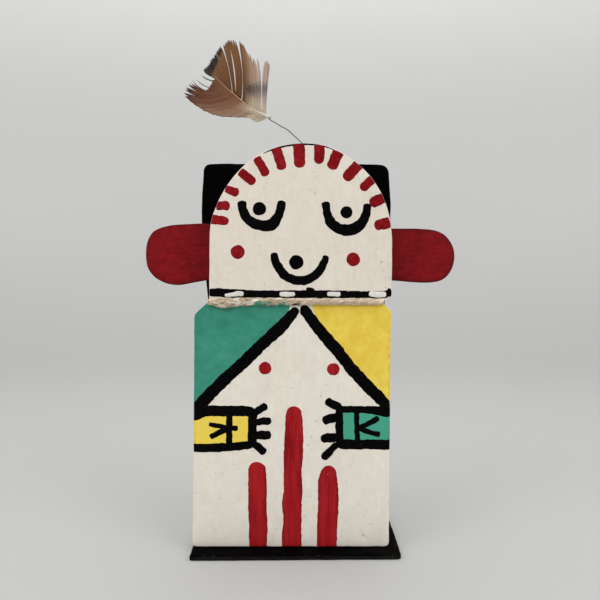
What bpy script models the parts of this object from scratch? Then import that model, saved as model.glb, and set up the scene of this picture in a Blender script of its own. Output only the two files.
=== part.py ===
"""Free-standing painted wooden doll with a feather on a wire.

Two front boards (arched head, tall body) are butted at the neck. A shaped back board is
screwed behind both of them, thin ears are let into the back of the head, and the body stands
on a thin plate. A bent wire in the top edge of the head ends in the hollow quill of a feather.
Units in the tables are millimetres; the row frame has its origin at the centre of the
plate's underside, +Z up, and the painted front faces -Y.
"""

import math

import bmesh
import bpy
from mathutils import Matrix, Vector

MM = 0.001
NAME = "painted_doll"

# --- driving dimensions (mm) -------------------------------------------------------------
GAP = 0.3  # clearance left between pieces that touch
BASE_T = 2.0  # base plate thickness
BASE_HALF_DEPTH = 35.0
STOCK_T = 19.0  # finished board thickness
FRONT_Y = -25.0  # painted face of head and body
BACK_Y = FRONT_Y + STOCK_T  # back of head and body
MID_Y = FRONT_Y + STOCK_T / 2
HAIR_FRONT_Y = BACK_Y + GAP
HAIR_BACK_Y = HAIR_FRONT_Y + STOCK_T

NECK_Z = 113.2  # seam between body and head
SEAM_CHAMFER = 1.6
BODY_BOTTOM_Z = BASE_T + GAP
SHOULDER_L = (6.1, 5.9)  # width and height of the sawn-off left shoulder
SHOULDER_R = (4.2, 4.1)

HEAD_X = 2.35  # middle of the arch
HEAD_HALF_W = 41.15
SPRING_Z = 146.0  # where the arch starts
ARCH_RISE = 38.6
ARCH_POWER = 1.75  # below 2: a slightly pointed arch
HEAD_CORNER_R = 2.6

EAR_T = 3.0
EAR_POCKET_IN_L = -27.5  # inner end of the left ear's tab
EAR_POCKET_IN_R = 31.0

TWINE_R = 1.6
WIRE_R = 0.3
WIRE_X = 4.0
WIRE_HOLE_DEPTH = 12.0
QUILL_R = 0.55
CALAMUS_R = 0.9  # the hollow end of the quill, over the wire
CALAMUS_LEN = 4.2
WIRE_IN_QUILL = 3.0
ROOT_T = 2.1  # where the vanes are measured from, along the quill
VANE_T = 0.6

BACK_SCREW_X = (-18.0, 18.0)
BACK_SCREW_Z_HEAD = 150.0
BACK_SCREW_Z_BODY = 103.0
BACK_SCREW_LEN = 32.0
BASE_SCREW_X = (-26.0, 22.0)
BASE_SCREW_LEN = 25.0
SCREW_R = 1.75
SCREW_HEAD_R = 3.5
SCREW_HEAD_H = 2.2
BASE_SCREW_R = 1.5
BASE_SCREW_HEAD_R = 2.9
BASE_SCREW_HEAD_H = 1.5
BRAD_R = 0.7
BRAD_LEN = 12.0
BRADS_L = ((-34.0, 129.0), (-34.0, 143.0))
BRADS_R = ((37.5, 128.5), (37.5, 142.0))

# Plan of the hand-cut plate (x, y), and front views of the other outlines (x, z)
BASE_OUTLINE = ((-46.6, -35.4), (46.6, -34.0), (47.6, 35.0), (-47.0, 35.0))
BODY_SIDES = (-46.7, 42.0, 43.0, -46.0)  # x at bottom left, bottom right, top right, top left
EAR_L_OUTLINE = (
    (-39.9, 150.3), (-48.0, 150.3), (-58.5, 149.6), (-65.0, 148.2), (-69.2, 145.5),
    (-70.9, 141.7), (-71.5, 135.5), (-71.1, 130.8), (-68.7, 126.7), (-65.0, 123.6),
    (-60.0, 121.5), (-57.0, 121.0), (-50.0, 122.1), (-42.6, 123.4),
)
EAR_R_OUTLINE = (
    (45.5, 123.4), (54.5, 122.6), (65.2, 122.2), (68.9, 123.1), (72.5, 126.2),
    (74.8, 130.8), (75.4, 134.0), (74.8, 138.8), (72.0, 143.9), (68.2, 146.6),
    (64.5, 147.5), (45.6, 147.9),
)
HAIR_OUTLINE = (
    (-39.0, 94.0), (-41.6, 96.6), (-42.0, 105.0), (-42.4, 116.0), (-43.3, 124.0), (-44.9, 138.0),
    (-45.6, 150.0), (-45.6, 161.0), (-45.0, 171.0), (-44.5, 175.9), (-43.0, 178.4), (-40.4, 179.4),
    (0.0, 179.7), (40.6, 179.3), (43.4, 178.2), (44.6, 175.6), (45.0, 171.0), (45.6, 161.5),
    (45.6, 152.0), (44.8, 134.0), (43.0, 118.0), (42.1, 105.0), (41.4, 96.6), (38.8, 94.0),
)
# Bends of the wire above the hole (x, z), ending where it enters the quill
WIRE_PATH = ((4.0, 185.5), (3.2, 186.6), (-0.5, 190.0), (-4.2, 193.6), (-7.1, 194.9), (-9.7, 196.8))
QUILL_START = (-12.5, 198.2)
QUILL_DIR = (-0.906, 0.423)
# Feather outlines, from the root of the vanes (dx, dz)
RACHIS = ((0.0, 0.0), (-4.6, 1.8), (-8.9, 4.4), (-12.8, 7.6), (-16.2, 10.9), (-21.8, 15.9))
UPPER_VANE = (
    (-2.6, 2.4), (0.3, 8.0), (1.2, 16.0), (1.8, 24.6), (0.4, 26.2), (-3.0, 24.6), (-3.8, 26.6),
    (-8.5, 30.0), (-11.1, 33.0), (-13.8, 34.6), (-18.0, 34.9), (-21.3, 32.6), (-25.0, 26.9),
    (-28.1, 21.8), (-25.2, 18.6), (-22.4, 17.3),
)
LOWER_VANE = (
    (-22.9, 15.2), (-25.6, 16.6), (-29.9, 19.2), (-34.1, 16.4), (-37.2, 12.8), (-37.6, 10.4),
    (-36.2, 8.0), (-31.2, 4.0), (-26.9, 1.6), (-20.1, -0.5), (-13.4, -0.8), (-8.0, -1.8),
    (-5.0, -2.6), (-2.6, -1.4),
)


# --- scene plumbing ----------------------------------------------------------------------
def clear_scene():
    for obj in list(bpy.data.objects):
        bpy.data.objects.remove(obj, do_unlink=True)


def collection(name):
    group = bpy.data.collections.new(name)
    bpy.context.scene.collection.children.link(group)
    return group


def material(name, colour, roughness=0.6, metallic=0.0):
    mat = bpy.data.materials.new(name)
    mat.use_nodes = True
    shader = mat.node_tree.nodes["Principled BSDF"]
    shader.inputs["Base Color"].default_value = (*colour, 1.0)
    shader.inputs["Roughness"].default_value = roughness
    shader.inputs["Metallic"].default_value = metallic
    mat.diffuse_color = (*colour, 1.0)
    return mat


def finish_mesh(name, bm, group, mat=None):
    bmesh.ops.remove_doubles(bm, verts=bm.verts, dist=1e-7)
    bmesh.ops.recalc_face_normals(bm, faces=bm.faces)
    mesh = bpy.data.meshes.new(name)
    bm.to_mesh(mesh)
    bm.free()
    obj = bpy.data.objects.new(name, mesh)
    group.objects.link(obj)
    if mat is not None:
        mesh.materials.append(mat)
    return obj


# --- shape builders (arguments in mm) ----------------------------------------------------
def slab(name, outline, low, high, group, mat=None, upright=True, round_over=0.0):
    """A board: an outline in x, z (upright) or x, y (flat), swept from low to high."""
    bm = bmesh.new()

    def place(u, v, w):
        return Vector((u, w, v)) * MM if upright else Vector((u, v, w)) * MM

    near = [bm.verts.new(place(u, v, low)) for u, v in outline]
    far = [bm.verts.new(place(u, v, high)) for u, v in outline]
    bm.faces.new(near)
    bm.faces.new(list(reversed(far)))
    count = len(outline)
    for i in range(count):
        j = (i + 1) % count
        bm.faces.new((near[i], far[i], far[j], near[j]))
    obj = finish_mesh(name, bm, group, mat)
    if round_over > 0:
        soft = obj.modifiers.new("eased edges", "BEVEL")
        soft.width = round_over * MM
        soft.segments = 2
        soft.limit_method = "ANGLE"
        soft.angle_limit = math.radians(50)
    return obj


def turned(name, profile, at, direction, group, mat=None, sides=24):
    """A turned piece: (radius, height) pairs about a line through at, along direction."""
    bm = bmesh.new()
    turn = Vector((0, 0, 1)).rotation_difference(Vector(direction)).to_matrix().to_4x4()
    move = Matrix.Translation(Vector(at) * MM) @ turn
    rings = []
    for radius, height in profile:
        ring = []
        for i in range(sides):
            a = 2 * math.pi * i / sides
            spot = Vector((radius * math.cos(a), radius * math.sin(a), height)) * MM
            ring.append(bm.verts.new(move @ spot))
        rings.append(ring)
    for low, high in zip(rings, rings[1:]):
        for i in range(sides):
            j = (i + 1) % sides
            bm.faces.new((low[i], low[j], high[j], high[i]))
    bm.faces.new(list(reversed(rings[0])))
    bm.faces.new(rings[-1])
    return finish_mesh(name, bm, group, mat)


def swept(name, path, radii, group, mat=None, sides=12):
    """A round rod along a path of (x, y, z) points, with one radius for each."""
    points = [Vector(p) for p in path]
    bm = bmesh.new()
    rings = []
    for i, spot in enumerate(points):
        before = points[max(i - 1, 0)]
        after = points[min(i + 1, len(points) - 1)]
        along = (after - before).normalized()
        side = along.cross(Vector((0, 1, 0))).normalized()
        up = side.cross(along).normalized()
        ring = []
        for k in range(sides):
            a = 2 * math.pi * k / sides
            ring.append(bm.verts.new((spot + radii[i] * (side * math.cos(a) + up * math.sin(a))) * MM))
        rings.append(ring)
    for low, high in zip(rings, rings[1:]):
        for k in range(sides):
            j = (k + 1) % sides
            bm.faces.new((low[k], low[j], high[j], high[k]))
    bm.faces.new(list(reversed(rings[0])))
    bm.faces.new(rings[-1])
    return finish_mesh(name, bm, group, mat)


def cutter_of(obj):
    obj.hide_render = True
    obj.display_type = "WIRE"
    return obj


def cut(obj, tool):
    step = obj.modifiers.new("cut " + tool.name, "BOOLEAN")
    step.operation = "DIFFERENCE"
    step.solver = "EXACT"
    step.object = tool


def box_outline(x0, z0, x1, z1):
    return ((x0, z0), (x1, z0), (x1, z1), (x0, z1))


# --- outlines ----------------------------------------------------------------------------
def body_outline():
    left_low, right_low, right_top, left_top = BODY_SIDES
    top = NECK_Z - GAP / 2
    return (
        (left_low + 0.9, BODY_BOTTOM_Z),
        (right_low - 0.9, BODY_BOTTOM_Z),
        (right_low, BODY_BOTTOM_Z + 0.9),
        (right_top, top - SHOULDER_R[1]),
        (right_top - SHOULDER_R[0], top),
        (left_top + SHOULDER_L[0], top),
        (left_top, top - SHOULDER_L[1]),
        (left_low, BODY_BOTTOM_Z + 0.9),
    )


def head_outline(steps=44):
    bottom = NECK_Z + GAP / 2
    left, right = HEAD_X - HEAD_HALF_W - 0.5, HEAD_X + HEAD_HALF_W - 0.4
    r = HEAD_CORNER_R
    points = [(left + 0.9, bottom)]
    for i in range(5):
        a = -math.pi / 2 + math.pi / 2 * i / 4
        points.append((right - r + r * math.cos(a), bottom + r + r * math.sin(a)))
    for i in range(steps + 1):
        a = math.pi * i / steps
        c, s = math.cos(a), math.sin(a)
        x = HEAD_X + HEAD_HALF_W * math.copysign(abs(c) ** (2 / ARCH_POWER), c)
        points.append((x, SPRING_Z + ARCH_RISE * abs(s) ** (2 / ARCH_POWER)))
    points.append((left, bottom + 0.9))
    return points


# --- cutters -----------------------------------------------------------------------------
def seam_groove(group):
    """The shallow V along the neck seam, in which the twine lies."""
    c = SEAM_CHAMFER + GAP / 2
    bm = bmesh.new()
    rows = []
    for x in (-60.0, 60.0):
        rows.append([
            bm.verts.new(Vector((x, FRONT_Y - 1.0, NECK_Z - c - 1.0)) * MM),
            bm.verts.new(Vector((x, FRONT_Y + c, NECK_Z)) * MM),
            bm.verts.new(Vector((x, FRONT_Y - 1.0, NECK_Z + c + 1.0)) * MM),
        ])
    bm.faces.new(rows[0])
    bm.faces.new(list(reversed(rows[1])))
    for i in range(3):
        j = (i + 1) % 3
        bm.faces.new((rows[0][i], rows[1][i], rows[1][j], rows[0][j]))
    return cutter_of(finish_mesh("cut_seam", bm, group))


def ear_pocket(name, outline, inner_x, group):
    """The housing for an ear's tab, cut into the back of the head."""
    low = min(z for _, z in outline) - 0.1
    high = max(z for _, z in outline) + GAP
    outer_x = -50.0 if inner_x < 0 else 54.0
    x0, x1 = sorted((inner_x - math.copysign(GAP, inner_x), outer_x))
    shape = box_outline(x0, low, x1, high)
    return cutter_of(slab(name, shape, BACK_Y - EAR_T - GAP, BACK_Y + 1.0, group))


def screw_profile(radius, head_r, head_h, length):
    """Countersunk screw: face of the head at height 0, point at length."""
    return (
        (head_r, 0.0), (head_r, 0.25), (radius, head_h), (radius, length - 4.0), (0.35, length),
    )


def screw_hole(name, radius, head_r, head_h, length, at, direction, group):
    profile = (
        (head_r + GAP, -1.0), (head_r + GAP, 0.25 + GAP * 0.4), (radius + GAP, head_h + GAP * 0.4),
        (radius + GAP, length + GAP),
    )
    return cutter_of(turned(name, profile, at, direction, group))


def pin_hole(name, radius, length, at, direction, group, sides=24):
    profile = ((radius + GAP, -1.0), (radius + GAP, length + GAP))
    return cutter_of(turned(name, profile, at, direction, group, sides=sides))


# --- pieces ------------------------------------------------------------------------------
def make_base_plate(parts, tools):
    mat = material("base_black", (0.012, 0.011, 0.012), 0.5)
    plate = slab("base_plate", BASE_OUTLINE, 0.0, BASE_T, parts, mat, upright=False, round_over=0.35)
    for i, x in enumerate(BASE_SCREW_X):
        cut(plate, tools["base_screw_%d" % i])
    return plate


def make_body_board(parts, tools):
    mat = material("body_cream", (0.70, 0.64, 0.56), 0.55)
    body = slab("body_board", body_outline(), FRONT_Y, BACK_Y, parts, mat, round_over=0.6)
    for key in ("seam", "base_screw_0", "base_screw_1", "back_screw_0", "back_screw_1"):
        cut(body, tools[key])
    return body


def make_head_board(parts, tools):
    mat = material("head_cream", (0.71, 0.65, 0.57), 0.55)
    head = slab("head_board", head_outline(), FRONT_Y, BACK_Y, parts, mat, round_over=0.6)
    keys = ["seam", "ear_l", "ear_r", "wire", "back_screw_2", "back_screw_3"]
    keys += ["brad_%d" % i for i in range(4)]
    for key in keys:
        cut(head, tools[key])
    return head


def make_hair_board(parts, tools):
    mat = material("hair_black", (0.008, 0.008, 0.008), 0.5)
    hair = slab("hair_board", HAIR_OUTLINE, HAIR_FRONT_Y, HAIR_BACK_Y, parts, mat, round_over=0.8)
    for i in range(4):
        cut(hair, tools["back_screw_%d" % i])
    return hair


def make_ear(name, outline, inner_x, brads, parts, tools):
    mat = material(name + "_red", (0.19, 0.010, 0.013), 0.5)
    low, high = outline[0][1], outline[-1][1]
    if inner_x < 0:
        shape = ((inner_x, high), (inner_x, low)) + outline
    else:
        shape = ((inner_x, high), (inner_x, low)) + outline
    ear = slab(name, shape, BACK_Y - EAR_T, BACK_Y, parts, mat, round_over=0.4)
    for key in brads:
        cut(ear, tools[key])
    return ear


def make_neck_twine(parts):
    mat = material("twine_jute", (0.62, 0.52, 0.38), 0.9)
    y = FRONT_Y + SEAM_CHAMFER + GAP / 2 - (TWINE_R + GAP) * math.sqrt(2)
    left, right = BODY_SIDES[3] + SHOULDER_L[0] + 0.4, BODY_SIDES[2] - SHOULDER_R[0] + 0.6
    path, radii = [], []
    steps = 20
    for i in range(steps + 1):
        t = i / steps
        x = left + (right - left) * t
        path.append((x, y - 0.12 - 0.12 * math.sin(9 * t), NECK_Z + 0.1 * math.sin(7 * t)))
        radii.append(TWINE_R - 0.15 * t)
    return swept("neck_twine", path, radii, parts, mat, sides=14)


def make_screw(name, radius, head_r, head_h, length, at, direction, slot_axis, parts, cutters):
    mat = material(name + "_steel", (0.55, 0.54, 0.52), 0.35, 1.0)
    profile = screw_profile(radius, head_r, head_h, length)
    screw = turned(name, profile, at, direction, parts, mat)
    spot = Vector(at)
    half = Vector((head_r * 0.72, head_r * 0.72, head_r * 0.72))
    for k in range(3):
        if abs(direction[k]) > 0.5:
            half[k] = head_h * 0.4
        elif k != slot_axis:
            half[k] = 0.45
    bm = bmesh.new()
    bmesh.ops.create_cube(bm, size=1.0, matrix=Matrix.Translation(spot * MM)
                          @ Matrix.Diagonal((*(half * 2 * MM), 1.0)))
    slot = cutter_of(finish_mesh("cut_slot_" + name, bm, cutters))
    cut(screw, slot)
    return screw


def make_brad(name, at, parts):
    mat = material(name + "_steel", (0.45, 0.44, 0.42), 0.4, 1.0)
    profile = ((BRAD_R, 0.0), (BRAD_R, BRAD_LEN - 1.5), (0.15, BRAD_LEN))
    return turned(name, profile, at, (0, -1, 0), parts, mat, sides=14)


def make_wire_shank(parts):
    mat = material("shank_wire", (0.42, 0.41, 0.40), 0.35, 1.0)
    top = SPRING_Z + ARCH_RISE
    profile = ((WIRE_R, 0.0), (WIRE_R, WIRE_HOLE_DEPTH + 0.3))
    at = (WIRE_X, MID_Y, top - WIRE_HOLE_DEPTH)
    return turned("wire_shank", profile, at, (0, 0, 1), parts, mat, sides=14)


def quill_point(t):
    """A point t along the straight hollow end of the quill, from its mouth."""
    return (QUILL_START[0] + QUILL_DIR[0] * t, MID_Y, QUILL_START[1] + QUILL_DIR[1] * t)


def make_wire_stem(parts):
    mat = material("stem_wire", (0.42, 0.41, 0.40), 0.35, 1.0)
    path = [(x, MID_Y, z) for x, z in WIRE_PATH] + [quill_point(0.0), quill_point(WIRE_IN_QUILL)]
    return swept("wire_stem", path, [WIRE_R] * len(path), parts, mat)


def make_quill(parts, cutters):
    mat = material("quill_cream", (0.58, 0.48, 0.36), 0.5)
    x0, _, z0 = quill_point(ROOT_T)
    path = [quill_point(0.0), quill_point(CALAMUS_LEN - 1.0), quill_point(CALAMUS_LEN)]
    radii = [CALAMUS_R * 0.95, CALAMUS_R, CALAMUS_R * 0.8]
    for i, (dx, dz) in enumerate(RACHIS[1:]):
        path.append((x0 + dx, MID_Y, z0 + dz))
        radii.append(QUILL_R * (0.92 - 0.13 * i))
    quill = swept("feather_quill", path, radii, parts, mat, sides=16)
    bore = ((WIRE_R + GAP, -1.0), (WIRE_R + GAP, WIRE_IN_QUILL + GAP))
    along = (QUILL_DIR[0], 0, QUILL_DIR[1])
    cut(quill, cutter_of(turned("cut_quill", bore, quill_point(0.0), along, cutters, sides=16)))
    return quill


def rachis_edge(side):
    """Points beside the quill, a gap clear of it: side is +1 above and -1 below."""
    x0, _, z0 = quill_point(ROOT_T)
    edge = []
    for i in range(1, len(RACHIS)):
        a, b = RACHIS[i - 1], RACHIS[min(i + 1, len(RACHIS) - 1)]
        along = Vector((b[0] - a[0], b[1] - a[1])).normalized()
        normal = Vector((along.y, -along.x)) * side
        off = QUILL_R * 0.9 + GAP
        edge.append((x0 + RACHIS[i][0] + normal.x * off, z0 + RACHIS[i][1] + normal.y * off))
    return edge


def make_vane(name, outline, side, colour, parts):
    mat = material(name + "_barbs", colour, 0.8)
    x0, _, z0 = quill_point(ROOT_T)
    shape = [(x0 + dx, z0 + dz) for dx, dz in outline]
    inner = rachis_edge(side)
    shape += list(reversed(inner)) if side > 0 else inner
    return slab(name, shape, MID_Y - VANE_T / 2, MID_Y + VANE_T / 2, parts, mat)


def build():
    clear_scene()
    parts, cutters = collection(NAME), collection("cutters")
    screw = (SCREW_R, SCREW_HEAD_R, SCREW_HEAD_H, BACK_SCREW_LEN)
    under = (BASE_SCREW_R, BASE_SCREW_HEAD_R, BASE_SCREW_HEAD_H, BASE_SCREW_LEN)
    back_spots = [(x, HAIR_BACK_Y - 0.1, z) for z in (BACK_SCREW_Z_BODY, BACK_SCREW_Z_HEAD)
                  for x in BACK_SCREW_X]
    base_spots = [(x, MID_Y, 0.1) for x in BASE_SCREW_X]
    brad_spots = [(x, BACK_Y - 0.05, z) for x, z in BRADS_L + BRADS_R]

    tools = {
        "seam": seam_groove(cutters),
        "ear_l": ear_pocket("cut_ear_left", EAR_L_OUTLINE, EAR_POCKET_IN_L, cutters),
        "ear_r": ear_pocket("cut_ear_right", EAR_R_OUTLINE, EAR_POCKET_IN_R, cutters),
        "wire": pin_hole("cut_wire", WIRE_R, WIRE_HOLE_DEPTH,
                         (WIRE_X, MID_Y, SPRING_Z + ARCH_RISE), (0, 0, -1), cutters, sides=16),
    }
    for i, spot in enumerate(base_spots):
        tools["base_screw_%d" % i] = screw_hole("cut_base_screw_%d" % i, *under, spot,
                                                (0, 0, 1), cutters)
    for i, spot in enumerate(back_spots):
        tools["back_screw_%d" % i] = screw_hole("cut_back_screw_%d" % i, *screw, spot,
                                                (0, -1, 0), cutters)
    for i, spot in enumerate(brad_spots):
        tools["brad_%d" % i] = pin_hole("cut_brad_%d" % i, BRAD_R, BRAD_LEN, spot,
                                        (0, -1, 0), cutters, sides=14)

    make_base_plate(parts, tools)
    make_body_board(parts, tools)
    make_head_board(parts, tools)
    make_hair_board(parts, tools)
    make_ear("ear_left", EAR_L_OUTLINE, EAR_POCKET_IN_L, ("brad_0", "brad_1"), parts, tools)
    make_ear("ear_right", EAR_R_OUTLINE, EAR_POCKET_IN_R, ("brad_2", "brad_3"), parts, tools)
    make_neck_twine(parts)
    for name, spot in zip(("base_screw_left", "base_screw_right"), base_spots):
        make_screw(name, *under, spot, (0, 0, 1), 0, parts, cutters)
    names = ("back_screw_body_left", "back_screw_body_right",
             "back_screw_head_left", "back_screw_head_right")
    for name, spot, axis in zip(names, back_spots, (0, 2, 2, 0)):
        make_screw(name, *screw, spot, (0, -1, 0), axis, parts, cutters)
    names = ("ear_brad_left_low", "ear_brad_left_high", "ear_brad_right_low", "ear_brad_right_high")
    for name, spot in zip(names, brad_spots):
        make_brad(name, spot, parts)
    make_wire_shank(parts)
    make_wire_stem(parts)
    make_quill(parts, cutters)
    make_vane("feather_vane_upper", UPPER_VANE, 1, (0.16, 0.08, 0.045), parts)
    make_vane("feather_vane_lower", LOWER_VANE, -1, (0.20, 0.11, 0.07), parts)


build()
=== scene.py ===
"""Looks of the painted wooden doll: worn boards, brushed paint films, neck twine, wire and feather.

Lengths in the tables are millimetres. Paint is laid out in (u, v) on each board: u across from the
middle of the board's box, v up from its bottom edge. Everything is placed from the CAD boxes.
"""

import math
import random

import bmesh
import bpy
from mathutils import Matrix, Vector, noise
from mathutils.kdtree import KDTree


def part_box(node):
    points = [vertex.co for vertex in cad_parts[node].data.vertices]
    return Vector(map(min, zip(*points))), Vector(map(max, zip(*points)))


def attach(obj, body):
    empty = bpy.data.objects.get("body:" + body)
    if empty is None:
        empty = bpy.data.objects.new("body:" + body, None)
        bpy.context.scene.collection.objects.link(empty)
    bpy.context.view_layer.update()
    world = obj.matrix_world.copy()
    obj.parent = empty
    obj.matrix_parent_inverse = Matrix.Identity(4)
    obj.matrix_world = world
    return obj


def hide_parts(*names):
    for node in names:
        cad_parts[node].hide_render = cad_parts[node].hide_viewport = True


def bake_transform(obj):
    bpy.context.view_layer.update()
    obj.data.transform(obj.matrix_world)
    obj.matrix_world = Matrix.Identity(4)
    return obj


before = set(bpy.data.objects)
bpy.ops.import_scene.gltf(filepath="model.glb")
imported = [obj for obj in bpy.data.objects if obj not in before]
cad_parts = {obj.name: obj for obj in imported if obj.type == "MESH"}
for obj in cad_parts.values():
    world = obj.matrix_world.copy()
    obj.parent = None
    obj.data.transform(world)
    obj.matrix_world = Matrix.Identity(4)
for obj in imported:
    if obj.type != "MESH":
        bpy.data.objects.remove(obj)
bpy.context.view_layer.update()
MM = 0.001


def box_mm(node):
    low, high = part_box(node)
    return low / MM, high / MM


BODY_LOW, BODY_HIGH = box_mm("body_board")
HEAD_LOW, HEAD_HIGH = box_mm("head_board")
HAIR_LOW, HAIR_HIGH = box_mm("hair_board")
BASE_LOW, BASE_HIGH = box_mm("base_plate")
TWINE_LOW, TWINE_HIGH = box_mm("neck_twine")
QUILL_LOW, QUILL_HIGH = box_mm("feather_quill")
SHANK_LOW, SHANK_HIGH = box_mm("wire_shank")
FRONT = BODY_LOW.y
BODY_AT = Vector(((BODY_LOW.x + BODY_HIGH.x) / 2, BODY_LOW.z))
HEAD_AT = Vector(((HEAD_LOW.x + HEAD_HIGH.x) / 2, HEAD_LOW.z))
SHANK_AT = (SHANK_LOW + SHANK_HIGH) / 2

# --- outlines of the boards: (u, v, corner radius), or (u, v) for a soft corner ------------
SOFT = 99.0  # a corner rounded right up to the middle of its sides
BODY_OUTLINE = (
    (-44.9, 0.0, 1.6), (43.9, 0.0, 2.4), (44.3, 40.0), (44.95, 106.5, 1.2), (40.6, 110.75, 1.5),
    (-38.2, 110.75, 1.5), (-44.2, 105.0, 1.5), (-44.4, 60.0),
)
HEAD_OUTLINE = (
    (-41.4, 0.0, 1.2), (41.1, 0.0, 3.6), (41.4, 14.0), (41.5, 30.0), (40.4, 38.4), (37.7, 47.0),
    (33.2, 54.9), (27.2, 61.4), (19.5, 67.0), (12.4, 70.2), (4.5, 71.6), (-4.0, 71.3), (-13.0, 69.4),
    (-21.8, 64.9), (-28.7, 58.6), (-34.8, 50.3), (-38.5, 42.6), (-41.2, 34.6), (-41.2, 20.0),
)
EAR_LEFT = (
    (-27.5, 123.6, 1.0), (-42.6, 123.4, 4.0), (-50.0, 122.0), (-57.4, 120.6), (-65.3, 122.8),
    (-70.0, 127.3), (-71.8, 133.0), (-71.3, 141.8), (-68.0, 147.4), (-60.0, 149.7), (-48.0, 150.3),
    (-39.0, 150.4, 1.0), (-27.5, 150.2, 1.0),
)
EAR_RIGHT = (
    (31.0, 147.8, 1.0), (45.6, 148.0, 3.0), (64.2, 147.9), (70.9, 145.5), (74.7, 140.2), (75.8, 134.4),
    (74.4, 128.5), (70.9, 123.8), (65.4, 122.0), (54.5, 122.5), (45.5, 123.3, 2.0), (31.0, 123.4, 1.0),
)
HAIR_OUTLINE = (
    (-41.7, 94.0, 3.0), (-42.0, 108.0), (-43.4, 124.0), (-45.4, 146.0), (-45.7, 160.0), (-44.4, 179.5, 4.0),
    (0.0, 179.7), (44.4, 179.2, 4.8), (45.6, 162.0), (45.4, 146.0), (43.0, 118.0), (41.6, 94.0, 3.0),
)
BASE_OUTLINE = (
    (-46.6, -35.4, 1.0), (-20.0, -35.2), (5.0, -34.6), (30.0, -34.3), (46.4, -34.0, 2.2), (47.2, 0.0),
    (47.6, 35.0, 1.5), (0.0, 35.3), (-46.8, 35.0, 1.5), (-47.2, 0.0),
)

# --- paint on the head: strokes are ((u, v, width), ...) ---------------------------------
EYE_LINES = (
    ((-26.7, 45.5, 3.5), (-26.0, 41.0, 3.8), (-24.0, 37.3, 3.9), (-20.4, 35.0, 4.1),
     (-16.2, 34.1, 4.4), (-12.8, 34.8, 5.1), (-10.3, 38.2, 3.7), (-9.0, 41.6, 3.3), (-8.5, 45.6, 3.3)),
    ((11.3, 45.1, 2.9), (12.0, 39.7, 3.3), (13.9, 35.4, 4.2), (17.6, 32.8, 4.6), (21.8, 32.2, 4.8),
     (26.1, 33.8, 4.6), (28.9, 37.4, 3.9), (30.0, 41.0, 3.3), (30.1, 44.2, 3.1)),
)
MOUTH_LINE = (
    (-12.2, 22.0, 2.7), (-11.0, 17.2, 3.4), (-7.4, 12.0, 3.6), (-2.6, 9.6, 3.7), (2.5, 9.6, 3.7),
    (6.9, 12.0, 3.5), (10.0, 16.2, 3.1), (11.7, 20.7, 2.3),
)
FACE_DOTS = ((-18.6, 41.8, 3.05), (20.8, 40.2, 2.75), (-1.9, 17.6, 3.25))
CHEEK_DOTS = ((-28.4, 22.2, 3.15), (23.8, 18.9, 3.1))
# from the arch's edge inwards
BROW_DASHES = (
    ((-40.8, 37.1, 4.2), (-32.4, 36.1, 3.2)), ((-38.4, 43.0, 2.8), (-31.9, 43.4, 4.3)),
    ((-34.0, 51.0, 3.0), (-27.9, 48.6, 3.6)), ((-27.6, 58.8, 3.5), (-20.7, 53.3, 3.8)),
    ((-20.0, 65.1, 3.3), (-15.1, 56.7, 3.6)), ((-11.1, 69.2, 4.2), (-8.0, 59.4, 3.8)),
    ((-0.8, 71.3, 4.9), (-0.3, 60.3, 4.6)), ((8.6, 70.7, 4.7), (8.2, 62.0, 4.0)),
    ((17.1, 67.8, 4.9), (13.7, 59.6, 4.4)), ((26.9, 62.6, 4.7), (19.9, 54.9, 4.3)),
    ((32.8, 55.6, 3.9), (27.3, 50.4, 3.5)), ((38.3, 47.2, 4.3), (31.3, 43.8, 4.4)),
    ((40.6, 35.7, 4.9), (33.3, 33.9, 4.0)),
)
BAND_LINE = ((-41.6, 4.0, 3.4), (-36.0, 3.9, 3.9), (-27.0, 3.3, 3.9), (-13.8, 3.0, 3.8),
             (0.0, 3.0, 3.8), (13.3, 3.0, 3.7), (26.9, 2.9, 3.5), (36.0, 2.9, 3.4), (39.2, 3.3, 3.6),
             (41.6, 4.6, 4.2))
BAND_BUMP = ((2.6, 4.6, 2.0), (4.0, 5.3, 2.4), (6.4, 4.5, 2.0))
BAND_DASHES = (
    ((-34.4, 2.7, 1.4), (-31.0, 3.0, 1.9), (-28.2, 3.4, 2.5), (-25.6, 3.3, 2.3)),
    ((-9.6, 3.3, 2.1), (-6.0, 3.1, 2.2), (-2.4, 3.2, 2.2)),
    ((11.9, 3.3, 2.0), (15.0, 3.2, 2.2), (18.2, 3.2, 2.0)),
    ((30.8, 3.5, 2.2), (34.0, 3.0, 2.9), (38.8, 3.2, 2.5)),
)
# where the band is rubbed through: centre, length, lean
BAND_FLECKS = ((39.6, 1.9, 1.8, 0.3), (36.6, 1.5, 2.4, -0.1), (27.6, 4.55, 1.6, 0.1),
               (24.0, 1.5, 1.2, 0.3), (21.4, 4.5, 1.0, 0.1))
ARCH_RIM = ((-17.0, 66.7, 0.3), (-13.0, 68.4, 0.7), (-5.0, 70.55, 1.1),
            (4.5, 70.95, 0.9), (12.4, 69.5, 0.5), (19.6, 65.9, 0.3))

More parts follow.
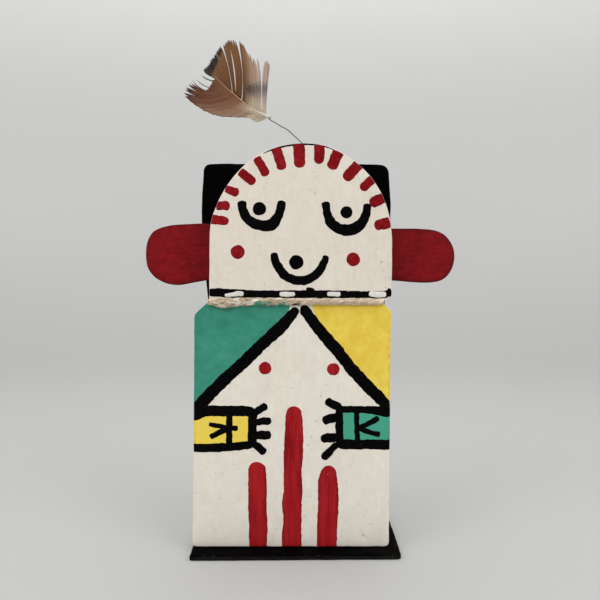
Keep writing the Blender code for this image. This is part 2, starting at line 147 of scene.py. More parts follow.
# --- paint on the body --------------------------------------------------------------------
GREEN_YOKE = ((-38.2, 111.2), (-1.0, 111.2), (-0.8, 108.6), (-1.6, 106.0), (-3.6, 103.4), (-12.0, 94.0),
              (-21.0, 84.8), (-30.0, 76.8), (-45.4, 60.6), (-45.0, 66.0), (-44.9, 104.8))
YELLOW_YOKE = ((9.2, 111.2), (40.8, 111.2), (45.6, 106.6), (45.4, 62.6), (39.5, 67.7), (33.0, 74.2),
               (26.3, 81.7), (20.4, 89.7), (15.6, 96.6), (12.2, 102.2), (10.2, 105.8), (9.2, 108.4))
YOKE_LINES = (
    ((2.6, 107.9, 3.2), (1.0, 106.0, 4.2), (-4.9, 99.5, 5.4), (-12.6, 92.5, 5.3), (-21.2, 84.0, 5.4),
     (-29.9, 76.2, 5.4), (-38.3, 67.8, 5.6), (-42.6, 63.0, 5.6), (-45.6, 60.0, 5.6)),
    ((4.2, 108.7, 3.0), (5.9, 107.0, 4.3), (9.0, 102.6, 4.9), (14.2, 96.2, 5.3), (20.2, 89.3, 5.3),
     (26.3, 81.5, 5.3), (33.2, 73.8, 5.3), (39.3, 67.7, 5.3), (45.4, 61.4, 5.2)),
    ((-0.4, 110.0, 1.0), (3.0, 110.2, 0.9)),
)
CUFF_LEFT_FILL = ((-45.4, 45.6), (-19.4, 46.6), (-19.2, 59.0), (-41.4, 59.2), (-45.4, 56.6))
CUFF_RIGHT_FILL = ((22.8, 47.6), (45.4, 47.4), (45.4, 59.4), (22.8, 61.2))
CUFF_LINES = (
    # left: upper, outer and lower edges of the sleeve, then the cross bar and the arrow
    ((-45.2, 57.9, 3.4), (-42.0, 60.0, 4.2), (-38.5, 61.3, 4.6), (-31.6, 61.4, 4.5),
     (-24.7, 61.4, 4.4), (-19.4, 61.1, 4.4), (-17.9, 59.4, 4.0), (-17.9, 55.6, 3.9),
     (-17.9, 51.3, 4.0), (-18.0, 46.6, 4.2)),
    ((-45.2, 44.8, 3.7), (-36.8, 44.8, 3.8), (-28.2, 45.2, 3.6), (-21.2, 45.9, 3.5), (-17.4, 46.6, 3.2)),
    ((-28.2, 61.0, 2.9), (-28.3, 53.5, 2.8), (-28.3, 45.5, 2.8)),
    ((-37.6, 55.6, 1.7), (-30.4, 54.1, 2.1), (-24.2, 53.5, 2.5)),
    ((-37.2, 49.7, 2.3), (-31.2, 52.3, 2.3), (-26.9, 54.0, 2.0)),
    # right: the same, with a fork
    ((21.6, 62.2, 2.8), (29.8, 62.1, 2.9), (36.0, 61.8, 3.4), (41.5, 61.2, 4.4), (45.4, 60.9, 4.8)),
    ((21.6, 63.2, 3.2), (21.5, 55.6, 3.4), (21.6, 50.4, 3.4), (21.9, 45.0, 3.5)),
    ((20.8, 46.3, 4.2), (28.9, 46.4, 4.3), (36.7, 46.4, 4.3), (45.4, 46.3, 4.4)),
    ((29.2, 61.4, 2.3), (29.4, 54.0, 2.2), (29.9, 45.8, 2.3)),
    ((39.4, 58.5, 2.8), (35.0, 55.9, 2.2), (29.6, 53.7, 2.0)),
    ((30.2, 53.6, 2.2), (35.4, 51.8, 2.1), (40.0, 50.6, 2.5)),
)
FINGERS = (
    ((-17.4, 60.2, 2.7), (-14.8, 61.9, 3.1), (-11.2, 64.2, 3.0)),
    ((-16.8, 56.3, 2.3), (-13.2, 56.7, 2.8), (-9.2, 56.9, 2.9)),
    ((-16.8, 50.6, 3.0), (-13.0, 50.5, 3.6), (-9.3, 50.7, 3.3)),
    ((-18.0, 47.0, 2.8), (-15.0, 45.0, 3.1), (-11.9, 42.3, 3.0)),
    ((22.4, 62.4, 3.4), (19.2, 64.1, 3.3), (15.2, 66.2, 3.2)),
    ((21.4, 58.9, 3.2), (17.6, 58.0, 3.7), (13.9, 56.6, 3.2)),
    ((21.2, 49.5, 3.2), (17.2, 49.3, 3.8), (13.0, 48.9, 3.4)),
    ((20.8, 46.6, 2.3), (17.4, 43.5, 2.8), (13.8, 39.7, 3.0)),
)
RED_STRIPES = (
    ((0.8, 63.6, 6.0), (0.9, 59.6, 7.3), (1.0, 51.2, 8.4), (0.7, 42.6, 8.7), (0.3, 34.0, 8.2),
     (0.6, 26.0, 8.5), (0.0, 20.0, 8.7), (0.3, 12.3, 8.3), (-0.1, 5.0, 8.8), (0.1, -0.6, 9.0)),
    ((-15.6, 38.4, 7.4), (-15.7, 35.6, 8.0), (-15.5, 27.0, 8.5), (-15.5, 18.0, 8.4), (-15.2, 9.0, 8.4),
     (-15.3, -0.6, 7.8)),
    ((16.7, 36.8, 5.6), (16.6, 33.8, 7.0), (16.3, 29.0, 8.9), (16.5, 20.0, 9.3), (16.0, 10.0, 9.2),
     (15.8, -0.6, 8.9)),
)
CHEST_DOTS = ((-12.1, 80.8, 2.85), (18.8, 80.3, 2.8))
# how far each kind of paint stands off its board
RED_LIFT, BLACK_LIFT, FIELD_LIFT, WHITE_LIFT = 0.13, 0.17, 0.09, 0.26
CUFF_TOP = 65.0  # above the floor; the cuffs' paint is a shade off the yokes'
# specks and scrapes in the paint: (u, v, radius)
BODY_SCARS = ((32.0, 5.2, 1.1), (9.0, 50.0, 0.5), (7.4, 46.0, 0.5), (11.2, 57.0, 0.5), (5.6, 14.0, 0.6),
              (22.4, 13.2, 0.5), (-32.5, 22.0, 0.5))
HEAD_SCARS = ((4.2, 50.4, 0.5), (6.4, 49.2, 0.6), (34.5, 24.0, 0.5), (36.6, 17.6, 0.6), (8.6, 17.0, 0.5),
              (-22.0, 52.6, 0.4), (30.6, 10.6, 0.5))


# --- curves --------------------------------------------------------------------------------
def mix_points(a, b, t):
    return tuple(x + (y - x) * t for x, y in zip(a, b))


def bezier(points, t):
    while len(points) > 1:
        points = [mix_points(a, b, t) for a, b in zip(points, points[1:])]
    return points[0]


def spline(points, step):
    """A smooth curve through points of any length, sampled about every step."""
    pts = [points[0], *points, points[-1]]
    out = []
    for i in range(1, len(pts) - 2):
        p0, p1, p2, p3 = pts[i - 1:i + 3]
        count = max(2, int(math.dist(p1[:2], p2[:2]) / step))
        for k in range(count):
            t = k / count
            out.append(tuple(
                0.5 * (2 * b + (c - a) * t + (2 * a - 5 * b + 4 * c - d) * t * t
                       + (3 * b - a - 3 * c + d) * t ** 3)
                for a, b, c, d in zip(p0, p1, p2, p3)))
    out.append(tuple(points[-1]))
    return out


def rounded(points, radius, arc):
    """A closed outline with its corners rounded: by their own radius if they have one."""
    out = []
    for i, point in enumerate(points):
        here = Vector(point[:2])
        back = Vector(points[i - 1][:2]) - here
        ahead = Vector(points[(i + 1) % len(points)][:2]) - here
        r = point[2] if len(point) > 2 else radius
        start = here + back.normalized() * min(r, back.length * 0.499)
        end = here + ahead.normalized() * min(r, ahead.length * 0.499)
        for k in range(arc + 1):
            t = k / arc
            out.append(start * (1 - t) ** 2 + here * 2 * t * (1 - t) + end * t * t)
    return out


def even(points, step):
    """A closed outline resampled at even steps, anticlockwise."""
    area = sum(a.x * b.y - b.x * a.y for a, b in zip(points, points[1:] + points[:1]))
    if area < 0:
        points = list(reversed(points))
    lengths = [0.0]
    for a, b in zip(points, points[1:] + points[:1]):
        lengths.append(lengths[-1] + (b - a).length)
    count = max(12, int(lengths[-1] / step))
    out, k = [], 0
    for i in range(count):
        s = lengths[-1] * i / count
        while lengths[k + 1] < s:
            k += 1
        span = max(lengths[k + 1] - lengths[k], 1e-9)
        a, b = points[k], points[(k + 1) % len(points)]
        out.append(a.lerp(b, (s - lengths[k]) / span))
    return out


def outward(points):
    normals = []
    for i in range(len(points)):
        along = points[(i + 1) % len(points)] - points[i - 1]
        normals.append(Vector((along.y, -along.x)).normalized())
    return normals


def circle(count):
    """Cosines and sines of even steps round a circle."""
    angles = [2 * math.pi * i / count for i in range(count)]
    return [(math.cos(a), math.sin(a)) for a in angles]


def ripple(x, y, z=0.0):
    """Smooth noise, from about -1 to 1."""
    return noise.noise(Vector((x, y, z)))


class Rim:
    """A board's outline as cut, with the radius its worn front edge has at each point."""

    def __init__(self, outline, at, step, wobble, edge, seed):
        line = [p + Vector(at) for p in even(rounded(outline, SOFT, 8), step)]
        self.out = outward(line)
        self.line = [p + n * wobble * ripple(p.x * 0.16 + seed, p.y * 0.16)
                     for p, n in zip(line, self.out)]
        self.radius = [edge * (1 + 0.35 * ripple(p.x * 0.11, p.y * 0.11, seed + 3.1)
                               + 0.3 * ripple(p.x * 0.6, p.y * 0.6, seed + 7.7)) for p in line]
        self.tree = KDTree(len(line))
        for i, p in enumerate(self.line):
            self.tree.insert((p.x, p.y, 0), i)
        self.tree.balance()
        self.middle = sum(self.line, Vector((0, 0))) / len(self.line)

    def lay(self, spot, margin=0.12):
        """Keep paint on the board: pull it inside the outline and bend it down over the edge."""
        _, i, _ = self.tree.find((spot.x, spot.y, 0))
        beyond = (spot - self.line[i]).dot(self.out[i]) + margin
        if beyond > 0:
            spot = spot - self.out[i] * beyond
            beyond = 0.0
        inside = margin - beyond
        r = self.radius[i]
        drop = r - math.sqrt(max(0.0, r * r - (r - inside) ** 2)) if inside < r else 0.0
        return spot, drop


BODY_RIM = Rim(BODY_OUTLINE, BODY_AT, 0.6, 0.1, 0.6, 31)
HEAD_RIM = Rim(HEAD_OUTLINE, HEAD_AT, 0.6, 0.08, 0.45, 41)
ON_HEAD, ON_BODY = (HEAD_AT, HEAD_RIM), (BODY_AT, BODY_RIM)


# --- mesh pieces ---------------------------------------------------------------------------
def finish(name, bm, mat, body="doll", weld=1e-7):
    bmesh.ops.remove_doubles(bm, verts=bm.verts, dist=weld)
    bmesh.ops.recalc_face_normals(bm, faces=bm.faces)
    mesh = bpy.data.meshes.new(name)
    bm.to_mesh(mesh)
    bm.free()
    mesh.materials.append(mat)
    for face in mesh.polygons:
        face.use_smooth = True
    piece = bpy.data.objects.new(name, mesh)
    bpy.context.scene.collection.objects.link(piece)
    if body:
        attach(piece, body)
    return piece


def bridge(bm, low, high):
    for i in range(len(low)):
        j = (i + 1) % len(low)
        bm.faces.new((low[i], low[j], high[j], high[i]))


def fan(bm, ring, hub):
    for i in range(len(ring)):
        bm.faces.new((ring[i], ring[(i + 1) % len(ring)], hub))


def loft(bm, rings, start=True, end=True):
    """Skin a row of rings and close its ends with flat faces."""
    for low, high in zip(rings, rings[1:]):
        bridge(bm, low, high)
    if start:
        bm.faces.new(list(reversed(rings[0])))
    if end:
        bm.faces.new(rings[-1])


def board(name, rim, near, far, mat, seed=0, at=(0, 0), upright=True, swell=0.05, holes=(),
          replaces=(), dents=()):
    """A sawn board with hand-worn edges. near is the painted face, far the back.

    Point attributes drive the paint: face is 1 on the near side, edge is 1 on worn corners."""
    bm = bmesh.new()
    on_face = bm.verts.layers.float.new("face")
    on_edge = bm.verts.layers.float.new("edge")
    centre, edge = rim.middle, list(zip(rim.line, rim.out, rim.radius))
    into = 1 if far > near else -1

    def put(uv, w, face, worn):
        spot = (uv.x, w, uv.y) if upright else (uv.x, uv.y, w)
        vert = bm.verts.new(Vector(spot) * MM)
        vert[on_face], vert[on_edge] = face, worn
        return vert

    def cap(level, side, face):
        """Rings from the middle of a face out to its edge, and the vertex in the middle."""
        rings = []
        steps = max(6, int(min((p - centre).length for p in rim.line) / 2.0))
        for k in range(steps):
            f = (k + 1) / (steps + 1)
            ring = []
            for p, n, r in edge:
                uv = centre + (p - n * r - centre) * f
                rise = swell * ripple(uv.x * 0.3 + seed, uv.y * 0.035) * (1 - f ** 6)
                for du, dv, size, depth in dents:
                    off = (uv - Vector(at) - Vector((du, dv))).length / size
                    rise -= depth * max(0.0, 1 - off * off) if face else 0
                ring.append(put(uv, level - side * rise, face, 0.0))
            rings.append(ring)
        return rings, put(centre, level, face, 0.0)

    def corner(level, side, k, face):
        """Ring k of the six that round a worn corner, counted from its face."""
        a = math.pi / 2 * k / 5
        return [put(p - n * r * (1 - math.sin(a)), level + side * r * (1 - math.cos(a)),
                    face, 0.35 + 0.65 * math.sin(2 * a)) for p, n, r in edge]

    rows, hub = cap(near, into, 1.0)
    rows += [corner(near, into, k, 1.0 - 0.12 * k) for k in range(6)]
    for t in (0.06, 0.3, 0.7, 0.94):
        rows.append([put(p, near + into * r + (far - near - into * 2 * r) * t, 0.0, 0.0)
                     for p, _, r in edge])
    rows += [corner(far, -into, k, 0.0) for k in range(5, -1, -1)]
    back, back_hub = cap(far, -into, 0.0)
    rows += list(reversed(back))
    loft(bm, rows, False, False)
    fan(bm, rows[0], hub)
    fan(bm, rows[-1], back_hub)
    piece = finish(name, bm, mat, None)
    for hole in holes:
        cut = piece.modifiers.new("hole", "BOOLEAN")
        cut.solver, cut.object = "EXACT", hole
    if holes:
        bpy.context.view_layer.update()
        done = bpy.data.meshes.new_from_object(
            piece.evaluated_get(bpy.context.evaluated_depsgraph_get()))
        piece.modifiers.clear()
        piece.data = done
        done.name = name
    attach(piece, "doll")
    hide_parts(*replaces)
    return piece


def drill(profile, at, direction, sides=28):
    """A round cutter for a hole: (radius, depth) pairs along direction from at."""
    bm = bmesh.new()
    turn = Vector((0, 0, 1)).rotation_difference(Vector(direction)).to_matrix()
    loft(bm, [[bm.verts.new((Vector(at) + turn @ Vector((radius * c, radius * s, depth))) * MM)
               for c, s in circle(sides)] for radius, depth in profile])
    bmesh.ops.recalc_face_normals(bm, faces=bm.faces)
    mesh = bpy.data.meshes.new("drill")
    bm.to_mesh(mesh)
    bm.free()
    return bpy.data.objects.new("drill", mesh)


def border_layer(bm):
    return bm.verts.layers.float.get("border") or bm.verts.layers.float.new("border")


# where a stroke's film has vertices, from one side (-1) to the other, and which have one under them
SECTION = (-1.0, -0.93, -0.7, -0.35, 0.0, 0.35, 0.7, 0.93, 1.0)
UNDERSIDE = (1.0, 0.35, -0.35, -1.0)


def brush(bm, points, at, lift, seed, ends=(1.0, 1.0), wobble=0.09, spread=0.0):
    """One brush stroke as a thin raised film: paint piles up a little at its edges and ends.

    at is (board's origin, its rim); wet paint runs out by spread past the width it was drawn."""
    origin, rim = at
    border = border_layer(bm)
    path = spline(points, 0.4)
    along = [0.0]
    for a, b in zip(path, path[1:]):
        along.append(along[-1] + math.dist(a[:2], b[:2]))
    loops = []
    for i, (u, v, width) in enumerate(path):
        ahead, behind = path[min(i + 1, len(path) - 1)], path[max(i - 1, 0)]
        way = Vector((ahead[0] - behind[0], ahead[1] - behind[1])).normalized()
        side = Vector((-way.y, way.x))
        full = (width + spread) / 2
        cap = 1.0
        for distance, end in ((along[i], ends[0]), (along[-1] - along[i], ends[1])):
            reach = full * end
            if reach > 0 and distance < reach:
                cap *= math.sqrt(max(0.0025, 1 - (1 - distance / reach) ** 2))
        here = Vector((u, v)) + origin
        halves = []
        for edge in (0, 50):
            slow = ripple(along[i] * 0.5, seed * 3.7 + edge)
            quick = ripple(along[i] * 2.1, seed * 5.3 + edge)
            halves.append(full * cap + wobble * cap * (1.5 * slow + 0.55 * quick))
        loop, under = [], []
        for c in SECTION:
            spot, drop = rim.lay(here + side * halves[c < 0] * c)
            pile = (1 - abs(c) ** 6) ** 0.5 * (0.8 + 0.2 * abs(c))
            rise = lift * cap ** 0.5 * (pile + (0.24 * ripple(along[i] * 0.35, c * 1.7 + seed * 5.1)
                                                + 0.12 * ripple(along[i] * 1.6, c * 3 + seed))
                                        * (1 - abs(c) ** 4))
            loop.append(bm.verts.new(Vector((spot.x, FRONT + drop - 0.015 - rise, spot.y)) * MM))
            loop[-1][border] = max(abs(c), 1 - cap if min(ends) > 0.3 else 0.0)
            if c in UNDERSIDE:
                under.append(bm.verts.new(Vector((spot.x, FRONT + drop + 0.09, spot.y)) * MM))
        loops.append(loop + list(reversed(under)))
    loft(bm, loops)


def blob(bm, spot, at, lift, seed):
    """A dabbed spot, (u, v, radius): a slightly uneven round film."""
    border = border_layer(bm)
    rings = []
    for reach, rise in ((1.0, -0.1), (0.99, 0.35), (0.95, 0.75), (0.85, 1.0), (0.6, 0.92), (0.3, 0.86)):
        ring = []
        for c, s in circle(44):
            r = spot[2] * reach * (1 + 0.07 * ripple(c * 1.1 + seed * 3.3, s * 1.1)
                                   + 0.03 * ripple(c * 4, s * 4, seed))
            ring.append(bm.verts.new(Vector((spot[0] + at[0].x + r * c, FRONT - lift * rise,
                                             spot[1] + at[0].y + r * s)) * MM))
            ring[-1][border] = reach
        rings.append(ring)
    loft(bm, rings, start=False)
    under = [bm.verts.new(vert.co + Vector((0, 0.1 * MM, 0))) for vert in rings[0]]
    bridge(bm, under, rings[0])
    bm.faces.new(list(reversed(under)))


def field(bm, outline, at, lift, seed, corner=0.7):
    """A filled area of paint with a hand-painted border."""
    origin, rim = at
    line = [p + origin for p in even(rounded(outline, corner, 5), 0.5)]
    out = outward(line)
    line = [p + n * 0.18 * (ripple(p.x * 0.45, p.y * 0.45, seed * 2.3)
                            + 0.4 * ripple(p.x * 1.9, p.y * 1.9, seed)) for p, n in zip(line, out)]
    centre = sum(line, Vector((0, 0))) / len(line)

    def ring_at(inset, f, rise):
        ring = []
        for p, n in zip(line, out):
            spot = centre + (p - n * inset - centre) * f
            drop = 0.0
            if f > 0.9:
                spot, drop = rim.lay(spot, 0.1 + inset)
            bump = 0.25 * ripple(spot.x * 0.5 + spot.y * 0.4, spot.y * 0.12 - spot.x * 0.1, seed)
            ring.append(bm.verts.new(Vector((spot.x, FRONT + drop - lift * (rise + bump * (rise > 0.9)),
                                             spot.y)) * MM))
        return ring

    border = ((0.0, -1.0), (0.0, 0.3), (0.1, 0.85), (0.3, 1.0), (0.6, 1.0))
    rings = [ring_at(inset, 1.0, rise) for inset, rise in border]
    rings += [ring_at(0.6, 1 - k / 16, 1.0) for k in range(1, 16)]
    loft(bm, rings, end=False)
    fan(bm, rings[-1], bm.verts.new(Vector((centre.x, FRONT - lift, centre.y)) * MM))


# --- materials -----------------------------------------------------------------------------
def srgb(r, g, b):
    return tuple((c / 12.92 if c <= 0.04045 else ((c + 0.055) / 1.055) ** 2.4)
                 for c in (r / 255, g / 255, b / 255)) + (1.0,)


class Paint:
    """A material and its nodes. A colour is (red, green, blue) out of 255, or a node's output."""

    def __init__(self, name, roughness=0.55, specular=0.14):
        self.mat = bpy.data.materials.new(name)
        self.mat.use_nodes = True
        self.tree = self.mat.node_tree
        self.out = self.tree.nodes["Principled BSDF"]
        self.out.inputs["Roughness"].default_value = roughness
        self.out.inputs["Specular IOR Level"].default_value = specular
        self.colour = None

    def add(self, kind, inputs=None, **settings):
        node = self.tree.nodes.new("ShaderNode" + kind)
        for key, value in settings.items():
            setattr(node, key, value)
        for key, value in (inputs or {}).items():
            if isinstance(value, bpy.types.NodeSocket):
                self.tree.links.new(value, node.inputs[key])
            else:
                node.inputs[key].default_value = value
        return node

    def where(self):
        return self.add("TexCoord").outputs["Object"]

    def axes(self):
        return self.add("SeparateXYZ", {0: self.where()}).outputs

    def grain(self, stretch, detail=4.0, rough=0.55, offset=(0, 0, 0)):
        """Noise over the object's own coordinates; stretch is features per metre on each axis."""
        turned = self.add("Mapping", {"Vector": self.where(), "Scale": stretch, "Location": offset})
        return self.add("TexNoise", {"Vector": turned.outputs[0], "Scale": 1.0, "Detail": detail,
                                     "Roughness": rough}).outputs["Fac"]

    def attribute(self, name):
        return self.add("Attribute", attribute_name=name).outputs["Fac"]

    def ramp(self, value, low, high, to_low=0.0, to_high=1.0):
        return self.add("MapRange", {0: value, 1: low, 2: high, 3: to_low, 4: to_high}).outputs[0]

    def maths(self, operation, a, b):
        return self.add("Math", {0: a, 1: b}, operation=operation).outputs[0]

    def plus(self, a, b):
        return self.maths("ADD", a, b)

    def minus(self, a, b):
        return self.maths("SUBTRACT", a, b)

    def times(self, a, b):
        return self.maths("MULTIPLY", a, b)

    def mix(self, amount, a, b):
        a, b = (srgb(*c) if isinstance(c, tuple) and len(c) == 3 else c for c in (a, b))
        return self.add("Mix", {0: amount, 6: a, 7: b}, data_type="RGBA").outputs[2]

    def cover(self, amount, over):
        """Lay a colour over the colour so far."""
        self.colour = self.mix(amount, self.colour, over)

    def surface(self, rough=None, height=None, depth=0.0001, strength=0.6):
        self.tree.links.new(self.colour, self.out.inputs["Base Color"])
        if rough is not None:
            self.tree.links.new(rough, self.out.inputs["Roughness"])
        if height is not None:
            bump = self.add("Bump", {"Height": height, "Strength": strength, "Distance": depth})
            self.tree.links.new(bump.outputs[0], self.out.inputs["Normal"])
        return self.mat


def board_paint(name, front, side, bare_wood_and_rim_shade, streaks=(900, 900, 190), rim_threshold=0.62, dirt=0.10, seed=0.0,
                rough=(0.45, 0.62), specular=0.14, mark=(168, 154, 132), scars=()):
    """Brushed paint over timber: streaks along the grain, worn corners, faint stains, tiny specks. The
    rubbed rim shows bare timber on most boards; on the ears the rim colour is painted shade, darkening their
    rounded edges.
    """
    p = Paint(name, specular=specular)
    fine = p.grain(streaks, 5.0, 0.6, (seed, 0, 0))
    broad = p.grain((140, 140, 22), 3.0, 0.5, (seed + 4, 2, 0))
    cloud = p.grain((38, 38, 30), 3.0, 0.55, (seed + 9, 0, 3))
    speck = p.grain((700, 700, 620), 2.0, 0.5, (seed + 2, 1, 7))
    mottle = p.grain((260, 260, 240), 4.0, 0.6, (seed + 5, 1, 4))
    brushed = p.plus(p.times(fine, 0.45), p.times(mottle, 0.55))
    p.colour = p.mix(p.ramp(brushed, 0.34, 0.66), front[0], front[1])
    p.cover(p.ramp(broad, 0.35, 0.75, 0.0, 0.6), front[2])
    p.cover(p.ramp(cloud, 0.56, 0.80, 0.0, dirt), (176, 160, 138))
    crowd = p.ramp(p.grain((30, 30, 22), 2.0, 0.5, (seed + 7, 7, 0)), 0.5, 0.7, 0.0, 0.06)
    p.cover(p.ramp(p.plus(speck, crowd), 0.74, 0.79, 0.0, 0.65), mark)
    for x, z, radius in scars:
        gap = p.add("VectorMath", {0: p.where(), 1: (x * MM, FRONT * MM, z * MM)}, operation="DISTANCE")
        ragged = p.times(gap.outputs["Value"], p.ramp(speck, 0.3, 0.7, 0.6, 1.6))
        p.cover(p.ramp(ragged, radius * MM, radius * 0.3 * MM, 0.0, 0.5), (128, 112, 96))
    patches = p.ramp(p.grain((45, 45, 28), 2.0, 0.5, (seed + 1, 1, 1)), 0.42, 0.62)
    tick = p.grain((1000, 1000, 300), 2.0, 0.5, (seed + 6, 3, 5))
    ticks = p.times(p.ramp(tick, 0.66, 0.74, 0.0, 0.5), patches)
    p.cover(ticks, mark)
    scuff = p.grain((190, 190, 900), 3.0, 0.55, (seed + 8, 2, 2))
    p.cover(p.ramp(scuff, 0.66, 0.74, 0.0, 0.3), mark)
    frayed = p.grain((420, 420, 260), 4.0, 0.6, (seed, 5, 5))
    wrap = p.ramp(p.plus(p.attribute("face"), p.ramp(frayed, 0.2, 0.8, -0.28, 0.28)), 0.42, 0.54)
    p.colour = p.mix(wrap, p.mix(p.ramp(broad, 0.3, 0.7), *side), p.colour)
    # rim mask: worn paint on most boards, painted shade round the ears' rounded edges
    worn = p.times(p.attribute("edge"), p.ramp(frayed, rim_threshold, rim_threshold + 0.07))
    p.cover(worn, bare_wood_and_rim_shade)
    height = p.plus(p.times(fine, 0.7), p.times(broad, 0.6))
    height = p.minus(p.minus(height, p.times(worn, 0.6)), p.times(ticks, 0.8))
    return p.surface(p.ramp(p.plus(fine, worn), 0.3, 1.0, *rough), height, 0.00012, 0.55)


def film_paint(name, dark, light, streak, gloss=(0.34, 0.5), seed=0.0, specular=0.14, rim=None,
               thin=None, low=None, specks=None):
    """Acrylic paint in one colour, thicker and thinner along the strokes.

    rim is its colour at a stroke's border, thin where it is scraped, low on the cuffs."""
    p = Paint(name, specular=specular)
    thick = p.grain(streak, 4.0, 0.6, (seed, 0, 0))
    cloud = p.grain((60, 60, 45), 3.0, 0.5, (seed, 6, 0))
    both = p.plus(p.times(thick, 0.55), p.times(cloud, 0.45))
    p.colour = p.mix(p.ramp(both, 0.36, 0.66), dark, light)
    if rim:
        p.cover(p.ramp(p.attribute("border"), 0.6, 1.0, 0.0, 0.45), rim)
    if thin:
        scrape = p.grain(tuple(c * 1.7 for c in streak), 3.0, 0.5, (seed, 4, 4))
        p.cover(p.ramp(scrape, 0.52, 0.78, 0.0, 0.8), thin)
    if low:
        p.cover(p.ramp(p.axes()[2], (CUFF_TOP + 1) * MM, (CUFF_TOP - 1) * MM, 0.0, 0.75), low)
    if specks:
        tiny = p.grain((520, 520, 520), 2.0, 0.5, (seed + 3, 0, 1))
        p.cover(p.ramp(tiny, 0.74, 0.78, 0.0, 0.8), specks)
    fine = p.grain((1500, 1500, 240), 4.0, 0.6, (seed, 2, 2))
    height = p.plus(p.times(fine, 0.6), thick)
    return p.surface(p.ramp(thick, 0.3, 0.7, *gloss), height, 0.00006, 0.5)


def metal(name, colour, rough):
    p = Paint(name, specular=0.5)
    p.out.inputs["Metallic"].default_value = 1.0
    scratch = p.grain((2600, 2600, 500), 4.0, 0.6)
    bright = srgb(*colour)
    p.colour = p.mix(p.ramp(scratch, 0.3, 0.7), bright, tuple(c * 0.55 for c in bright[:3]) + (1,))
    return p.surface(p.ramp(scratch, 0.3, 0.7, rough, rough + 0.2), scratch, 0.00003, 0.4)


def on_board(scars, at):
    return [(u + at.x, v + at.y, radius) for u, v, radius in scars]


CREAM = ((233, 225, 212), (220, 211, 197), (228, 217, 208))
CREAM_BODY = ((239, 233, 221), (224, 217, 204), (232, 223, 214))
BLACK, MATT_BLACK = ((7, 6, 7), (14, 13, 14)), ((2, 1, 2), (5, 3, 4), (3, 2, 3))
EAR_RED = ((147, 21, 28), (106, 10, 16), (128, 18, 25))
MAT_HEAD = board_paint("head_paint", CREAM, BLACK, (146, 126, 104), seed=1.0,
                       scars=on_board(HEAD_SCARS, HEAD_AT))
MAT_BODY = board_paint("body_paint", CREAM_BODY, ((216, 209, 196), (204, 196, 180)), (206, 194, 172),
                       seed=5.0, dirt=0.14, scars=on_board(BODY_SCARS, BODY_AT))
MAT_HAIR = board_paint("hair_paint", MATT_BLACK, BLACK, (52, 44, 36), seed=9.0, rim_threshold=0.66, dirt=0.02,
                       rough=(0.72, 0.88), specular=0.02, mark=(22, 20, 19))
# the base's edges are a lighter grey-black than its top, grey at the corners: partly worn paint, partly
# painted highlight along its front edge
MAT_BASE = board_paint("base_paint", MATT_BLACK, ((18, 18, 16), (30, 29, 27)), (64, 62, 57),
                       streaks=(70, 700, 700), seed=13.0, rim_threshold=0.6, dirt=0.02, rough=(0.8, 0.92),
                       specular=0.02, mark=(20, 18, 17))
# the ears' near-black red rim colour is laid nearly all round their edges: painted shade on the rounded rims
MAT_EAR = board_paint("ear_paint", EAR_RED, ((104, 14, 20), (60, 10, 14)), (44, 8, 12),
                      streaks=(90, 760, 760), seed=17.0, rim_threshold=0.4, dirt=0.0, rough=(0.45, 0.6),
                      specular=0.08, mark=(150, 52, 54))
MAT_RED = film_paint("red_paint", (132, 10, 18), (180, 34, 40), (420, 420, 40), seed=2.0, specular=0.08,
                     rim=(104, 10, 18), thin=(180, 40, 46), specks=(184, 80, 74))
MAT_RED_FACE = film_paint("red_face_paint", (112, 8, 14), (146, 20, 27), (420, 420, 300), seed=3.0,
                          specular=0.06, rim=(96, 10, 16), thin=(164, 42, 46))
MAT_BLACK = film_paint("black_paint", (2, 1, 2), (6, 4, 6), (420, 420, 420), (0.26, 0.5), seed=4.0,
                       specular=0.04, specks=(52, 48, 50))
MAT_GREEN = film_paint("green_paint", (44, 128, 106), (68, 151, 129), (200, 200, 200), (0.45, 0.6),
                       seed=6.0, low=(74, 168, 140), specks=(120, 170, 140))
MAT_YELLOW = film_paint("yellow_paint", (225, 192, 64), (243, 216, 94), (200, 200, 200), (0.45, 0.6),
                        seed=7.0, low=(240, 214, 88), specks=(190, 150, 50))
MAT_WHITE = film_paint("white_paint", (214, 210, 204), (234, 231, 226), (300, 300, 300), (0.4, 0.55),
                       seed=8.0)
MAT_WIRE = metal("wire_metal", (150, 147, 142), 0.32)
MAT_SCREW = metal("screw_metal", (176, 172, 164), 0.28)


# --- camera, light and floor ---------------------------------------------------------------
def make_floor():
    """A shallow round bowl: flat under the doll, curving up far away on every side."""
    flat = [(r * 0.1, 0.0) for r in range(1, 9)]
    curve = [(0.8 + 1.2 * math.sin(a), 1.2 * (1 - math.cos(a)))
             for a in [math.pi / 2 * k / 12 for k in range(1, 13)]]
    bm = bmesh.new()
    rings = [[bm.verts.new((radius * c, radius * s, height - 0.00005)) for c, s in circle(64)]
             for radius, height in (*flat, *curve, (2.0, 2.6))]
    loft(bm, rings, False, False)
    bm.faces.new(rings[0])
    p = Paint("floor_paint", 0.8)
    height = p.axes()[2]
    # painted light: the bowl's colour is lighter higher up, standing in for how the backdrop is lit
    p.colour = p.mix(p.ramp(height, 0.0, 0.5), (184, 184, 183), (196, 196, 195))
    # painted light: the bowl glows, more strongly higher up, as a soft light dome though it is no lamp
    glow = p.add("FloatCurve", {1: p.ramp(height, 0.0, 1.25)})
    line = glow.mapping.curves[0].points
    for at, level in ((0.09, 0.08), (0.3, 0.16), (0.56, 0.2), (0.75, 0.27)):
        line.new(at, level)
    line[0].location, line[-1].location = (0.0, 0.035), (1.0, 0.42)
    glow.mapping.update()
    p.tree.links.new(glow.outputs[0], p.out.inputs["Emission Strength"])
    p.out.inputs["Emission Color"].default_value = (1.0, 1.0, 0.985, 1)
    floor = finish("floor", bm, p.surface(), None)


